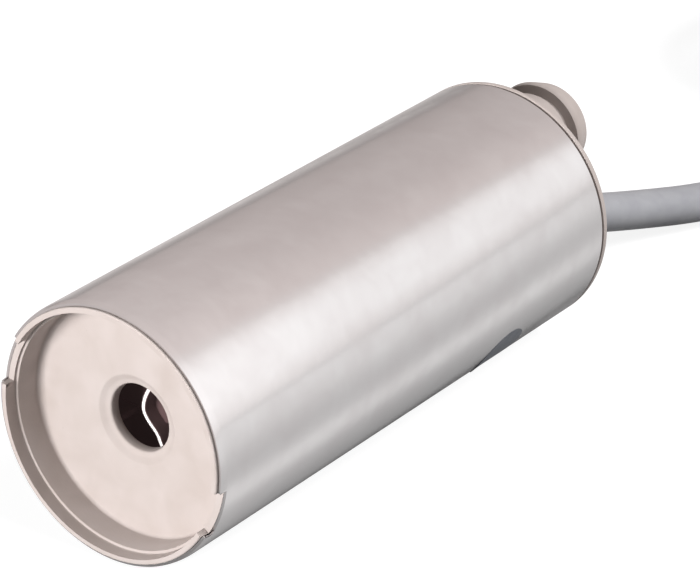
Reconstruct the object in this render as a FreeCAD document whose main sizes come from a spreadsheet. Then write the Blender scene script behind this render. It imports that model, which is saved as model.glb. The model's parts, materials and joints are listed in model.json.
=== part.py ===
"""Submersible pump for a caravan's fresh water container.

A thin metal sleeve is closed by an inlet cap in front and an outlet cap behind. Between them
sit the impeller, a guide ring and a sealed pod that holds the motor. Water is drawn in through
the hole in the inlet cap, is thrown outwards by the impeller, passes the guide ring, runs along
the pod inside the sleeve and leaves by the hose tail. A two core cable feeds the motor.

The pump lies on its side as it is stored: its axis is along Y, the inlet faces -Y, the floor is
z = 0. Stations are distances along the axis behind the front edge of the inlet cap.
Lengths are in millimetres and angles in degrees.
"""
import FreeCAD, Part
import math
import os

import Sketcher

Placement = FreeCAD.Placement
Rotation = FreeCAD.Rotation
Vector = FreeCAD.Vector

SIZES = (
    # Sleeve
    ("sleeve_radius", 19.0, "outside of the metal sleeve"),
    ("sleeve_wall", 0.4, "thickness of the sleeve"),
    ("sleeve_length", 91.15, "sleeve from edge to edge"),
    ("lip_draw", 0.2, "how far the sleeve is drawn in at its front edge"),
    ("lip_length", 1.45, "length over which the sleeve is drawn in"),
    ("sleeve_edge", 0.15, "broken edge at both ends of the sleeve"),
    # Fits
    ("fit_gap", 0.04, "clearance between pieces that are pushed together"),
    ("run_gap", 0.04, "radial clearance of what turns in a bush, a seal or between brushes"),
    # Inlet cap
    ("land_height", 0.45, "how far the rim stands in front of the sleeve"),
    ("land_round", 0.25, "round on the rim's outer edge"),
    ("rim_wall", 0.96, "thickness of the rim behind the sleeve's drawn-in edge"),
    ("ledge_depth", 2.05, "depth of the step inside the rim"),
    ("ledge_step", 0.4, "width of the step inside the rim"),
    ("recess_depth", 6.2, "depth of the recessed face"),
    ("recess_corner", 0.5, "round between the recessed face and its wall"),
    ("plate_thickness", 2.1, "thickness of the recessed face"),
    ("cap_length", 20.0, "inlet cap from rim to the end of its skirt"),
    ("skirt_wall", 2.15, "thickness of the skirt inside the sleeve"),
    ("inlet_radius", 4.9, "radius of the inlet hole"),
    ("dish_radius", 6.5, "radius of the dish round the inlet hole"),
    ("dish_depth", 0.7, "depth of the dish round the inlet hole"),
    ("mouth_round", 0.3, "round between the dish and the hole"),
    ("notch_width", 7.5, "width of the two notches in the rim and the sleeve"),
    ("notch_depth", 1.6, "depth of the two notches from the rim's front"),
    ("notch_angle", 160.0, "direction of the first notch, from +X towards +Z"),
    # Sealing rings between the caps and the sleeve
    ("ring_section", 1.2, "thickness of a sealing ring"),
    ("ring_groove_width", 1.6, "width of a sealing ring's groove"),
    ("front_groove_station", 13.0, "start of the inlet cap's groove"),
    ("rear_groove_inset", 7.5, "start of the outlet cap's groove, in front of its end face"),
    # Impeller
    ("vane_gap", 0.6, "gap between the recessed face and the vanes"),
    ("vane_height", 4.5, "height of the vanes"),
    ("vane_thickness", 0.75, "thickness of the vanes"),
    ("impeller_clearance", 1.0, "gap between the impeller and the guide ring"),
    ("disc_thickness", 1.2, "thickness of the impeller's disc"),
    ("hub_radius", 2.6, "radius of the impeller's hub"),
    ("hub_nose", 2.4, "hub in front of the disc"),
    ("hub_back", 1.0, "hub behind the disc"),
    ("splitter_start", 6.4, "radius where the short vanes start"),
    ("splitter_bow", 9.0, "radius of a short vane's curve"),
    ("splitter_sweep", 26.0, "angle by which a short vane lags from its start to its tip"),
    # Guide ring
    ("guide_wall", 2.0, "thickness of the guide ring"),
    ("guide_slots", 6, "number of slots in the guide ring"),
    ("guide_slot_width", 3.0, "width of a slot in the guide ring"),
    ("guide_slot_depth", 4.6, "length of a slot along the axis"),
    ("guide_slot_offset", 6.5, "distance of a slot's middle from the axis, which slants it"),
    ("pod_station", 16.2, "front face of the pod and rear face of the guide ring"),
    # Pod and seal
    ("water_gap", 1.21, "gap between the pod and the inlet cap's skirt"),
    ("pod_wall", 1.3, "thickness of the pod's wall"),
    ("outlet_room", 11.6, "room behind the pod, up to the sleeve's end"),
    ("bulkhead", 5.0, "thickness of the pod's front wall"),
    ("rib_count", 4, "number of ribs that centre the pod in the sleeve"),
    ("rib_thickness", 1.6, "thickness of a rib"),
    ("rib_clear", 0.6, "gap between the inlet cap's skirt and the ribs"),
    ("seal_radius", 5.5, "outside of the shaft seal"),
    ("seal_length", 1.8, "length of the shaft seal"),
    ("seal_lip", 0.6, "thickness of the seal's lip"),
    ("retainer_thickness", 0.6, "thickness of the washer that holds the seal"),
    ("retainer_hole", 1.9, "radius of the washer's hole"),
    ("plug_length", 4.0, "plug inside the pod"),
    ("plug_flange", 1.5, "flange of the plug"),
    # Motor
    ("can_wall", 0.9, "thickness of the motor's can"),
    ("wiring_room", 13.8, "room between the motor's can and the resin"),
    ("boss_radius", 5.0, "outside of the can's front boss"),
    ("boss_length", 1.6, "length of the can's front boss"),
    ("bush_radius", 3.0, "outside of a bearing bush"),
    ("bush_length", 3.0, "length of a bearing bush"),
    ("shaft_radius", 1.15, "radius of the motor's shaft"),
    ("shaft_tail", 0.8, "shaft behind the motor's can"),
    ("magnet_thickness", 3.4, "thickness of a magnet"),
    ("magnet_overlap", 3.0, "how far a magnet reaches past the rotor's stack at both ends"),
    ("magnet_angle", 130.0, "angle that a magnet covers"),
    ("magnet_inset", 2.0, "magnet behind the can's front wall"),
    ("air_gap", 0.5, "gap between the magnets and the rotor"),
    ("core_hub", 3.2, "radius of the stack's middle"),
    ("neck_width", 3.0, "width of a pole's neck"),
    ("shoe_thickness", 1.6, "thickness of a pole's shoe"),
    ("slot_opening", 1.4, "gap between two pole shoes"),
    ("winding_overhang", 2.0, "winding in front of and behind the stack"),
    ("commutator_radius", 3.4, "radius of the commutator"),
    ("commutator_length", 5.0, "length of the commutator"),
    ("commutator_gap", 2.0, "gap between the commutator and the end plate"),
    ("commutator_slit", 0.4, "width and depth of the slits between its segments"),
    ("end_plate_thickness", 3.0, "thickness of the motor's end plate"),
    ("brush_width", 2.6, "width and length of a brush"),
    ("brush_height", 3.0, "height of a brush from the commutator outwards"),
    ("arm_thickness", 0.3, "thickness of a brush's spring arm"),
    ("terminal_width", 2.4, "width of a motor terminal"),
    ("terminal_thickness", 0.5, "thickness of a motor terminal"),
    ("terminal_inside", 2.0, "terminal in front of the end plate"),
    ("terminal_outside", 4.8, "terminal behind the end plate"),
    # Outlet cap
    ("rim_gap", 0.4, "dark joint between the sleeve and the outlet cap's rim"),
    ("rim_height", 1.0, "height of the outlet cap's rim"),
    ("rim_round", 0.25, "broken edge of the outlet cap's rim"),
    ("end_wall", 2.4, "thickness of the outlet cap's end"),
    ("rear_skirt", 10.0, "outlet cap's skirt inside the sleeve"),
    ("tail_offset", 8.1, "height of the hose tail above the pump's axis"),
    ("tail_length", 13.5, "hose tail behind the cap's end face"),
    ("neck_length", 9.15, "hose tail in front of its barb"),
    ("neck_radius", 6.65, "radius of the hose tail's neck and tip"),
    ("neck_groove_width", 1.1, "width of the groove in front of the barb"),
    ("neck_groove_depth", 0.65, "depth of the groove in front of the barb"),
    ("barb_edge", 0.23, "by how much the barb is slimmer at its step"),
    ("barb_rise", 0.75, "length over which the barb reaches its full radius"),
    ("barb_radius", 7.85, "largest radius of the hose tail's barb"),
    ("tip_chamfer", 0.4, "chamfer at the hose tail's tip"),
    ("outlet_radius", 4.75, "radius of the water way through the hose tail"),
    # Cable and its gland
    ("cable_radius", 3.15, "radius of the cable's sheath"),
    ("cable_inset", 4.9, "distance of the cable's middle from the pod's bore"),
    ("cable_fit", 0.05, "clearance between the cable and what it passes through"),
    ("tunnel_wall", 1.8, "wall of the cable's tunnel in the outlet cap"),
    ("gland_wall", 1.0, "wall of the gland inside the end wall"),
    ("gland_depth", 5.0, "gland inside the outlet cap"),
    ("gland_flange", 1.2, "thickness of the gland's flange"),
    ("gland_flange_width", 2.2, "gland's flange beyond the cable"),
    ("gland_nose", 3.8, "gland behind its flange"),
    ("gland_tip_wall", 0.7, "wall of the gland at its tip"),
    ("resin_length", 5.0, "length of the sealing resin in front of the plug"),
    ("lead_radius", 0.9, "radius of an inner lead"),
    ("lead_spread", 1.5, "sideways distance of an inner lead from the cable's middle"),
    ("core_radius", 1.25, "radius of an insulated core at the cable's end"),
    ("core_spread", 1.4, "sideways distance of a core from the cable's middle"),
    ("core_reach", 26.0, "length of a core beyond the sheath"),
    ("core_bend", 20.0, "radius of a core's bend"),
    ("copper_radius", 0.7, "radius of the bared copper"),
    ("copper_reach", 8.0, "length of the bared copper"),
    # Coil of the cable that is put away
    ("coil_inner_turn", 17.7, "radius of the coil's smallest half turn"),
    ("coil_pitch", 6.9, "distance between turns and between layers"),
    ("tie_thickness", 0.4, "thickness of the tie round the coil"),
    ("tie_width", 4.0, "width of the tie round the coil"),
    ("tie_gap", 0.3, "clearance between the tie and the turns"),
)

# Middle line of the long vane, which runs from rim to rim past the left of the hub:
# (x, z, heading), with x and z as shares of the impeller's radius and the heading in degrees
# from +X towards +Z.
LONG_VANE = (
    (0.606, 0.718, 197.0),
    (0.0, 0.251, 240.0),
    (-0.075, 0.026, 270.0),
    (-0.028, -0.086, 307.0),
    (0.086, -0.210, 308.0),
    (0.146, -0.329, 292.0),
    (-0.322, -0.883, 174.0),
)
SPLITTER_TIPS = (117.0, 183.0, 303.0, 357.0)

# The cable's route behind the outlet cap's end face: (x, distance behind the face, height above
# the floor). It leaves the gland level, sinks to the floor and heads for the coil.
ROUTE = (
    (0.0, 18.5, 10.0),
    (1.1, 30.95, 5.9),
    (9.6, 48.15, 3.75),
    (12.4, 61.0, 3.6),
)
COIL_RUN = 42.4
COIL_START = -25.5

# The coil's half turns: by how many half pitches each is wider than the smallest one. The cable
# goes in below, out in the middle layer and in again above, and climbs where it turns back.
COIL_STEPS = (4, 3, 2, 1, 0, 1, 2, 3, 4, 3, 2)
COIL_CLIMBS = (4, 8)

doc = FreeCAD.newDocument("submersible_pump")
sheet = doc.addObject("Spreadsheet::Sheet", "Sizes")
PARTS = []


def fill_sheet():
    """Write every driving size into the sheet, with its alias and its meaning."""
    for row, (alias, value, meaning) in enumerate(SIZES, start=1):
        sheet.set(f"A{row}", alias)
        sheet.set(f"B{row}", str(value))
        sheet.setAlias(f"B{row}", alias)
        sheet.set(f"C{row}", meaning)
    doc.recompute()


class Size:
    """A size: its number together with the sheet formula that gives it."""

    def __init__(self, value, formula):
        self.value = value
        self.formula = formula

    def __add__(self, other):
        other = as_size(other)
        return Size(self.value + other.value, f"({self.formula} + {other.formula})")

    def __sub__(self, other):
        other = as_size(other)
        return Size(self.value - other.value, f"({self.formula} - {other.formula})")

    def __mul__(self, other):
        other = as_size(other)
        return Size(self.value * other.value, f"({self.formula} * {other.formula})")

    def __neg__(self):
        return Size(-self.value, f"(0 - {self.formula})")


def as_size(number):
    """Turn a plain number into a size; leave a size as it is."""
    return number if isinstance(number, Size) else Size(float(number), str(float(number)))


class Dimensions:
    """The sheet's cells, read by alias."""

    def __getattr__(self, alias):
        return Size(float(sheet.get(alias)), f"Sizes.{alias}")


fill_sheet()
dim = Dimensions()

# Radii and stations that several pieces share.
bore_radius = dim.sleeve_radius - dim.sleeve_wall
plug_radius = bore_radius - dim.fit_gap
lip_bore = bore_radius - dim.lip_draw
lip_end = dim.land_height + dim.lip_length
skirt_radius = plug_radius - dim.skirt_wall
ring_floor = bore_radius - dim.ring_section - dim.fit_gap * 2
plate_back = dim.recess_depth + dim.plate_thickness
vane_station = plate_back + dim.vane_gap
disc_station = vane_station + dim.vane_height
disc_back = disc_station + dim.disc_thickness
shaft_start = disc_station - dim.hub_nose * 0.5
sleeve_back = dim.land_height + dim.sleeve_length
pod_back = sleeve_back - dim.outlet_room
pod_radius = skirt_radius - dim.water_gap
pod_bore = pod_radius - dim.pod_wall
guide_outer = skirt_radius - dim.fit_gap
guide_bore = guide_outer - dim.guide_wall
impeller_radius = guide_bore - dim.impeller_clearance
plug_station = pod_back - dim.plug_length
resin_station = plug_station - dim.resin_length
can_station = dim.pod_station + dim.bulkhead
can_back = resin_station - dim.wiring_room
can_radius = pod_bore - dim.fit_gap
can_bore = can_radius - dim.can_wall
boss_front = can_station - dim.boss_length
seal_front = boss_front - dim.pod_wall * 0.5 - dim.seal_length
end_plate_station = can_back - dim.end_plate_thickness
commutator_station = end_plate_station - dim.commutator_gap - dim.commutator_length
magnet_station = can_station + dim.can_wall + dim.magnet_inset
magnet_bore = can_bore - dim.fit_gap - dim.magnet_thickness
core_outer = magnet_bore - dim.air_gap
core_station = magnet_station + dim.magnet_overlap
core_length = commutator_station - dim.fit_gap - dim.winding_overhang - core_station
magnet_length = core_length + dim.magnet_overlap * 2
winding_outer = core_outer - dim.shoe_thickness - dim.fit_gap
brush_outer = dim.commutator_radius + dim.run_gap + dim.brush_height
cap_face = sleeve_back + dim.rim_gap + dim.rim_height
overall_length = cap_face + dim.tail_length
front_y = overall_length * -0.5
cable_hole = dim.cable_radius + dim.cable_fit
gland_tip = cap_face + dim.gland_flange + dim.gland_nose
cable_drop = pod_bore - dim.cable_inset


def put(obj, x, station, z, rotation=Rotation()):
    """Place an object at x and z from the pump's axis, at a station along it."""
    target = {"x": as_size(x), "y": front_y + station, "z": dim.sleeve_radius + z}
    obj.Placement = Placement(Vector(*(size.value for size in target.values())), rotation)
    for letter, size in target.items():
        obj.setExpression(f"Placement.Base.{letter}", size.formula)
    return obj


def bind(obj, **sizes):
    """Tie an object's properties to the sheet."""
    for name, size in sizes.items():
        obj.setExpression(name, as_size(size).formula)
    return obj


def node(obj, name):
    """Take an object as a finished sub-part under the name of its file."""
    obj.Label = name
    PARTS.append(obj)
    return obj


def origin_plane(body, role):
    """One of a body's own origin planes."""
    return next(item for item in body.Origin.OriginFeatures if item.Role == role)


def new_sketch(body, name, role, station=None):
    """A sketch on one of the body's own planes, moved to a station where one is given."""
    sketch = body.newObject("Sketcher::SketchObject", name)
    sketch.AttachmentSupport = [(origin_plane(body, role), "")]
    sketch.MapMode = "FlatFace"
    if station is not None:
        sketch.setExpression("AttachmentOffset.Base.z", (-as_size(station)).formula)
    return sketch


def fix(sketch, kind, where, size, name):
    """Add one named distance or radius to a sketch and tie it to the sheet."""
    index = sketch.addConstraint(Sketcher.Constraint(kind, *where, size.value))
    sketch.renameConstraint(index, name)
    sketch.setExpression(f"Constraints.{name}", size.formula)


def fix_corner(sketch, geometry, end, corner, number):
    """Hold one corner of an outline at its two distances from the sketch's origin."""
    across, along = (as_size(size) for size in corner)
    if across.value == 0:
        sketch.addConstraint(Sketcher.Constraint("PointOnObject", geometry, end, -2))
    else:
        fix(sketch, "DistanceX", (-1, 1, geometry, end), across, f"across_{number}")
    if along.value == 0:
        sketch.addConstraint(Sketcher.Constraint("PointOnObject", geometry, end, -1))
    else:
        fix(sketch, "DistanceY", (-1, 1, geometry, end), along, f"along_{number}")


def draw_outline(sketch, corners):
    """Draw a closed outline.

    A corner is (across, along), or (across, along, radius) where an arc arrives there: it
    bends to the left for a positive radius and to the right for a negative one.
    """
    points = [Vector(as_size(c[0]).value, as_size(c[1]).value, 0) for c in corners]
    ends = []
    for number, corner in enumerate(corners):
        start, stop = points[number - 1], points[number]
        if len(corner) == 2:
            ends.append((sketch.addGeometry(Part.LineSegment(start, stop)), 1, 2))
            continue
        radius = as_size(corner[2])
        chord = stop - start
        left = Vector(-chord.y, chord.x, 0).normalize()
        reach = math.sqrt(max(radius.value ** 2 - chord.Length ** 2 / 4, 0.0))
        turns_left = radius.value > 0
        centre = (start + stop) * 0.5 + left * (reach if turns_left else -reach)
        first, last = (start, stop) if turns_left else (stop, start)
        angles = [math.atan2(p.y - centre.y, p.x - centre.x) for p in (first, last)]
        circle = Part.Circle(centre, Vector(0, 0, 1), abs(radius.value))
        index = sketch.addGeometry(Part.ArcOfCircle(circle, *angles))
        ends.append((index, 1, 2) if turns_left else (index, 2, 1))
    for number, (index, start, _) in enumerate(ends):
        before = ends[number - 1]
        sketch.addConstraint(Sketcher.Constraint("Coincident", before[0], before[2], index, start))
    for number, (index, _, stop) in enumerate(ends):
        fix_corner(sketch, index, stop, corners[number][:2], number)
        if len(corners[number]) == 3:
            radius = as_size(corners[number][2])
            radius = radius if radius.value > 0 else -radius
            fix(sketch, "Radius", (index,), radius, f"radius_{number}")


def turned(name, corners, x=0.0, z=0.0, rotation=Rotation()):
    """A body turned about its own Y axis from an outline of (radius, station) corners."""
    body = doc.addObject("PartDesign::Body", name)
    sketch = new_sketch(body, name + "_outline", "XY_Plane")
    draw_outline(sketch, corners)
    turn = body.newObject("PartDesign::Revolution", name + "_turn")
    turn.Profile = sketch
    turn.ReferenceAxis = (sketch, ["V_Axis"])
    turn.Angle = 360
    sketch.Visibility = False
    return put(body, x, 0.0, z, rotation)


def tube_outline(inner, outer, start, end):
    """The outline of a plain tube or washer."""
    return [(inner, start), (outer, start), (outer, end), (inner, end)]


def sealing_ring(name, station):
    """A rubber ring that lies in a cap's groove and touches the sleeve."""
    body = doc.addObject("PartDesign::Body", name)
    sketch = new_sketch(body, name + "_section", "XY_Plane")
    middle = ring_floor + dim.fit_gap + dim.ring_section * 0.5
    along = station + dim.ring_groove_width * 0.5
    circle = Part.Circle(Vector(middle.value, along.value, 0), Vector(0, 0, 1),
                         dim.ring_section.value / 2)
    sketch.addGeometry(circle)
    fix(sketch, "DistanceX", (-1, 1, 0, 3), middle, "middle")
    fix(sketch, "DistanceY", (-1, 1, 0, 3), along, "station")
    fix(sketch, "Radius", (0,), dim.ring_section * 0.5, "section")
    turn = body.newObject("PartDesign::Revolution", name + "_turn")
    turn.Profile = sketch
    turn.ReferenceAxis = (sketch, ["V_Axis"])
    turn.Angle = 360
    return put(body, 0.0, 0.0, 0.0)


def add_feature(body, kind, name, sketch, length, reverse=False):
    """A pad or a pocket of a stated length along the body's Y axis."""
    feature = body.newObject("PartDesign::" + kind, name)
    feature.Profile = sketch
    feature.Reversed = reverse
    feature.setExpression("Length", length.formula)
    return feature


def add_polar_pattern(body, name, feature, count):
    """Repeat a feature evenly round the body's Y axis and make the result the body's tip."""
    axis = next(item for item in body.Origin.OriginFeatures if item.Role == "Y_Axis")
    pattern = body.newObject("PartDesign::PolarPattern", name)
    pattern.Originals = [feature]
    pattern.Axis = (axis, [""])
    pattern.Angle = 360
    pattern.Occurrences = int(count.value)
    pattern.setExpression("Occurrences", count.formula)
    body.Tip = pattern
    return pattern


ALONG_Y = Rotation(Vector(1, 0, 0), -90)


def rod(name, radius, start, length, x=0.0, z=0.0):
    """A cylinder that lies along the pump's axis."""
    cylinder = doc.addObject("Part::Cylinder", name)
    bind(cylinder, Radius=radius, Height=length)
    return put(cylinder, x, start, z, ALONG_Y)


def around_axis(angle):
    """The turn about the pump's axis that takes +X to a direction given from +X towards +Z."""
    return Rotation(Vector(0, 1, 0), -angle)


def bar(name, across, station, length, width, angle):
    """A block that reaches out from the axis: from one distance to another, at an angle."""
    block = doc.addObject("Part::Box", name)
    inner, outer = (as_size(size) for size in across)
    bind(block, Length=outer - inner, Width=length, Height=width)
    turn = around_axis(angle)
    corner = turn.multVec(Vector(inner.value, 0, -as_size(width).value / 2))
    return put(block, corner.x, station, corner.z, turn)


def joined(name, *pieces):
    """Several solids made one."""
    fuse = doc.addObject("Part::MultiFuse", name)
    fuse.Shapes = list(pieces)
    return fuse


def cut(name, base, tool):
    """A solid with another one taken away."""
    result = doc.addObject("Part::Cut", name)
    result.Base = base
    result.Tool = tool
    return result


def feature_from(name, shape, x=0.0, station=0.0, z=0.0):
    """A solid drawn straight from its edges, in the pump's own coordinates."""
    feature = doc.addObject("Part::Feature", name)
    feature.Shape = shape
    return put(feature, x, station, z)


def arc_from(start, heading, end):
    """The arc that leaves a point in a direction and passes through another point."""
    chord = end - start
    along = Vector(chord).normalize()
    side = heading - along * heading.dot(along)
    if side.Length < 1e-9:
        return Part.LineSegment(start, end).toShape()
    bend = math.acos(max(-1.0, min(1.0, heading.dot(along))))
    middle = (start + end) * 0.5 + side.normalize() * (chord.Length / 2 * math.tan(bend / 2))
    return Part.Arc(start, middle, end).toShape()


def biarc(start, heading, end, end_heading):
    """Two arcs that join two points and meet both headings smoothly."""
    chord = end - start
    both = heading + end_heading
    spread = 2 * (1 - heading.dot(end_heading))
    if spread < 1e-9:
        reach = chord.Length / (4 * chord.dot(end_heading) / chord.Length)
    else:
        slope = chord.dot(both)
        reach = (math.sqrt(slope ** 2 + spread * chord.dot(chord)) - slope) / spread
    joint = (start + end + (heading - end_heading) * reach) * 0.5
    first = arc_from(start, heading, joint)
    second = arc_from(end, end_heading * -1, joint)
    return [first, Part.Edge(second.Curve, *second.ParameterRange)]


def swept_round(edges, radius):
    """A round tube without a bore along a smooth chain of edges."""
    spine = Part.Wire(Part.__sortEdges__(edges))
    first = edges[0]
    circle = Part.Circle(first.valueAt(first.FirstParameter), first.tangentAt(first.FirstParameter),
                         radius)
    shape = spine.makePipeShell([Part.Wire(circle.toShape())], True, False)
    expected = math.pi * radius ** 2 * spine.Length
    if abs(shape.Volume / expected - 1) > 0.01:
        raise RuntimeError(f"a swept piece holds {shape.Volume:.1f} in place of {expected:.1f}")
    return shape


# Outer pieces


def make_rim_slot(name):
    """The block that cuts both notches: through the rim and through the sleeve's front edge."""
    slot = doc.addObject("Part::Box", name)
    reach = dim.sleeve_radius + dim.sleeve_wall
    bind(slot, Length=reach * 2, Width=dim.notch_depth * 2, Height=dim.notch_width)
    turn = around_axis(dim.notch_angle.value)
    corner = turn.multVec(Vector(-reach.value, 0, -dim.notch_width.value / 2))
    return put(slot, corner.x, -dim.notch_depth, corner.z, turn)


def make_outer_sleeve():
    """The metal tube: drawn in over the inlet cap at its front, with the rim's notches in it."""
    edge = dim.sleeve_edge
    start, end = dim.land_height, sleeve_back
    lip = lip_bore + dim.sleeve_wall
    tube = turned("sleeve_tube", [
        (lip_bore, start), (lip - edge, start), (lip, start + edge), (dim.sleeve_radius, lip_end),
        (dim.sleeve_radius, end - edge), (dim.sleeve_radius - edge, end), (bore_radius, end),
        (bore_radius, lip_end)])
    return cut("sleeve_body", tube, make_rim_slot("sleeve_slot"))


def make_inlet_cap():
    """The inlet cap: a rim with two notches, a recessed face, a dished hole and a skirt."""
    rim = lip_bore - dim.fit_gap
    rim_bore = plug_radius - dim.rim_wall
    recess = rim_bore - dim.ledge_step
    corner = dim.recess_corner
    dish_floor = dim.recess_depth + dim.dish_depth
    groove_end = dim.front_groove_station + dim.ring_groove_width
    shell = turned("inlet_cap_shell", [
        (rim_bore, 0.0), (rim - dim.land_round, 0.0), (rim, dim.land_round, dim.land_round),
        (rim, dim.land_height), (plug_radius, lip_end),
        (plug_radius, dim.front_groove_station), (ring_floor, dim.front_groove_station),
        (ring_floor, groove_end), (plug_radius, groove_end), (plug_radius, dim.cap_length),
        (skirt_radius, dim.cap_length), (skirt_radius, plate_back),
        (dim.inlet_radius, plate_back), (dim.inlet_radius, dish_floor + dim.mouth_round),
        (dim.inlet_radius + dim.mouth_round, dish_floor, dim.mouth_round),
        (dim.dish_radius, dim.recess_depth), (recess - corner, dim.recess_depth),
        (recess, dim.recess_depth - corner, -corner), (recess, dim.ledge_depth),
        (rim_bore, dim.ledge_depth)])
    return cut("inlet_cap_body", shell, make_rim_slot("rim_slot"))


def make_outlet_cap():
    """The outlet cap: a skirt, a rim, a barbed hose tail and a tunnel for the cable."""
    skirt_start = sleeve_back - dim.rear_skirt
    groove = cap_face - dim.rear_groove_inset
    groove_end = groove + dim.ring_groove_width
    edge = dim.rim_round
    shell = turned("outlet_cap_shell", [
        (skirt_radius, skirt_start), (plug_radius, skirt_start), (plug_radius, groove),
        (ring_floor, groove), (ring_floor, groove_end), (plug_radius, groove_end),
        (plug_radius, sleeve_back + dim.rim_gap), (dim.sleeve_radius, sleeve_back + dim.rim_gap),
        (dim.sleeve_radius, cap_face - edge), (dim.sleeve_radius - edge, cap_face, edge),
        (0.0, cap_face), (0.0, cap_face - dim.end_wall), (skirt_radius, cap_face - dim.end_wall)])
    barb = cap_face + dim.neck_length
    groove_front = barb - dim.neck_groove_width
    groove_floor = dim.neck_radius - dim.neck_groove_depth
    tip = cap_face + dim.tail_length
    root = cap_face - dim.end_wall * 0.5
    hose_tail = turned("hose_tail", [
        (0.0, root), (dim.neck_radius, root), (dim.neck_radius, groove_front),
        (groove_floor, groove_front), (groove_floor, barb), (dim.barb_radius - dim.barb_edge, barb),
        (dim.barb_radius, barb + dim.barb_rise), (dim.neck_radius, tip - dim.tip_chamfer),
        (dim.neck_radius - dim.tip_chamfer, tip), (0.0, tip)], z=dim.tail_offset)
    tunnel_start = pod_back + dim.plug_flange
    tunnel = rod("cable_tunnel", cable_hole + dim.tunnel_wall, tunnel_start,
                 root - tunnel_start, z=-cable_drop)
    water_way = rod("water_way", dim.outlet_radius, cap_face - dim.end_wall * 2,
                    dim.end_wall * 2 + dim.tail_length * 2, z=dim.tail_offset)
    cable_way = rod("cable_way", cable_hole, tunnel_start - dim.plug_flange,
                    cap_face - tunnel_start + dim.plug_flange * 2, z=-cable_drop)
    gland_seat = rod("gland_seat", cable_hole + dim.gland_wall, cap_face - dim.gland_depth,
                     dim.gland_depth * 2, z=-cable_drop)
    solid = joined("outlet_cap_solid", shell, hose_tail, tunnel)
    return cut("outlet_cap_body", solid, joined("outlet_cap_ways", water_way, cable_way, gland_seat))


def make_cable_gland():
    """The rubber gland: a sleeve in the end wall, a flange and a tapered nose."""
    seat = cable_hole + dim.gland_wall - dim.fit_gap
    flange = cable_hole + dim.gland_flange_width
    flange_end = cap_face + dim.gland_flange
    return turned("gland_body", [
        (cable_hole, cap_face - dim.gland_depth + dim.fit_gap),
        (seat, cap_face - dim.gland_depth + dim.fit_gap), (seat, cap_face), (flange, cap_face),
        (flange, flange_end - dim.rim_round), (flange - dim.rim_round, flange_end, dim.rim_round),
        (seat, flange_end), (cable_hole + dim.gland_tip_wall, gland_tip),
        (cable_hole, gland_tip)], z=-cable_drop)


# Pumping end


def compass(angle, length=1.0):
    """A vector across the pump's axis, at an angle from +X towards +Z."""
    return Vector(math.cos(math.radians(angle)), 0, math.sin(math.radians(angle))) * length


def vane(path):
    """One vane: a band of even thickness along a path that lies across the axis."""
    middle = Part.Wire(path)
    outline = middle.makeOffset2D(dim.vane_thickness.value / 2, 0, False, False, False)
    height = dim.vane_height.value + dim.disc_thickness.value / 2
    return Part.Face(outline).extrude(Vector(0, height, 0))


def long_vane_path():
    """The vane from rim to rim that passes beside the hub."""
    points = [Vector(x, 0, z) * impeller_radius.value for x, z, _ in LONG_VANE]
    headings = [compass(heading) for _, _, heading in LONG_VANE]
    edges = []
    for start, heading, end, end_heading in zip(points, headings, points[1:], headings[1:]):
        edges += biarc(start, heading, end, end_heading)
    return edges


def splitter_path(tip_angle):
    """A short vane, which leans back from its start to its tip."""
    tip = compass(tip_angle, impeller_radius.value - dim.vane_thickness.value)
    start = compass(tip_angle + dim.splitter_sweep.value, dim.splitter_start.value)
    chord = tip - start
    side = Vector(-chord.z, 0, chord.x).normalize()
    bow = dim.splitter_bow.value
    rise = bow - math.sqrt(bow ** 2 - chord.Length ** 2 / 4)
    return [Part.Arc(start, (start + tip) * 0.5 + side * rise, tip).toShape()]


def make_impeller():
    """The impeller: a hub and a disc with one long vane and four short ones."""
    hub_end = disc_back + dim.hub_back
    nose = disc_station - dim.hub_nose
    wheel = turned("impeller_wheel", [
        (0.0, nose), (dim.hub_radius, nose), (dim.hub_radius, disc_station),
        (impeller_radius, disc_station), (impeller_radius, disc_back),
        (dim.hub_radius, disc_back), (dim.hub_radius, hub_end), (0.0, hub_end)])
    paths = [long_vane_path()] + [splitter_path(angle) for angle in SPLITTER_TIPS]
    vanes = [feature_from(f"vane_{number}", vane(path), station=vane_station)
             for number, path in enumerate(paths)]
    bore_start = shaft_start - dim.fit_gap
    bore = rod("impeller_bore", dim.shaft_radius + dim.fit_gap, bore_start,
               hub_end - bore_start + dim.hub_back)
    return cut("impeller_body", joined("impeller_solid", wheel, *vanes), bore)


def make_guide_ring():
    """The guide ring: slanted slots let the water out of the impeller's chamber, backwards."""
    body = turned("guide_body", tube_outline(guide_bore, guide_outer, plate_back, dim.pod_station))
    slot_start = dim.pod_station - dim.guide_slot_depth
    sketch = new_sketch(body, "guide_slot", "XZ_Plane", slot_start)
    low = dim.guide_slot_offset - dim.guide_slot_width * 0.5
    high = dim.guide_slot_offset + dim.guide_slot_width * 0.5
    reach = guide_outer * 1.2
    draw_outline(sketch, [(0.0, low), (reach, low), (reach, high), (0.0, high)])
    pocket = add_feature(body, "Pocket", "guide_slot_cut", sketch, dim.guide_slot_depth * 2)
    add_polar_pattern(body, "guide_slots_cut", pocket, dim.guide_slots)
    return body


# Pod with its seal


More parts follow.
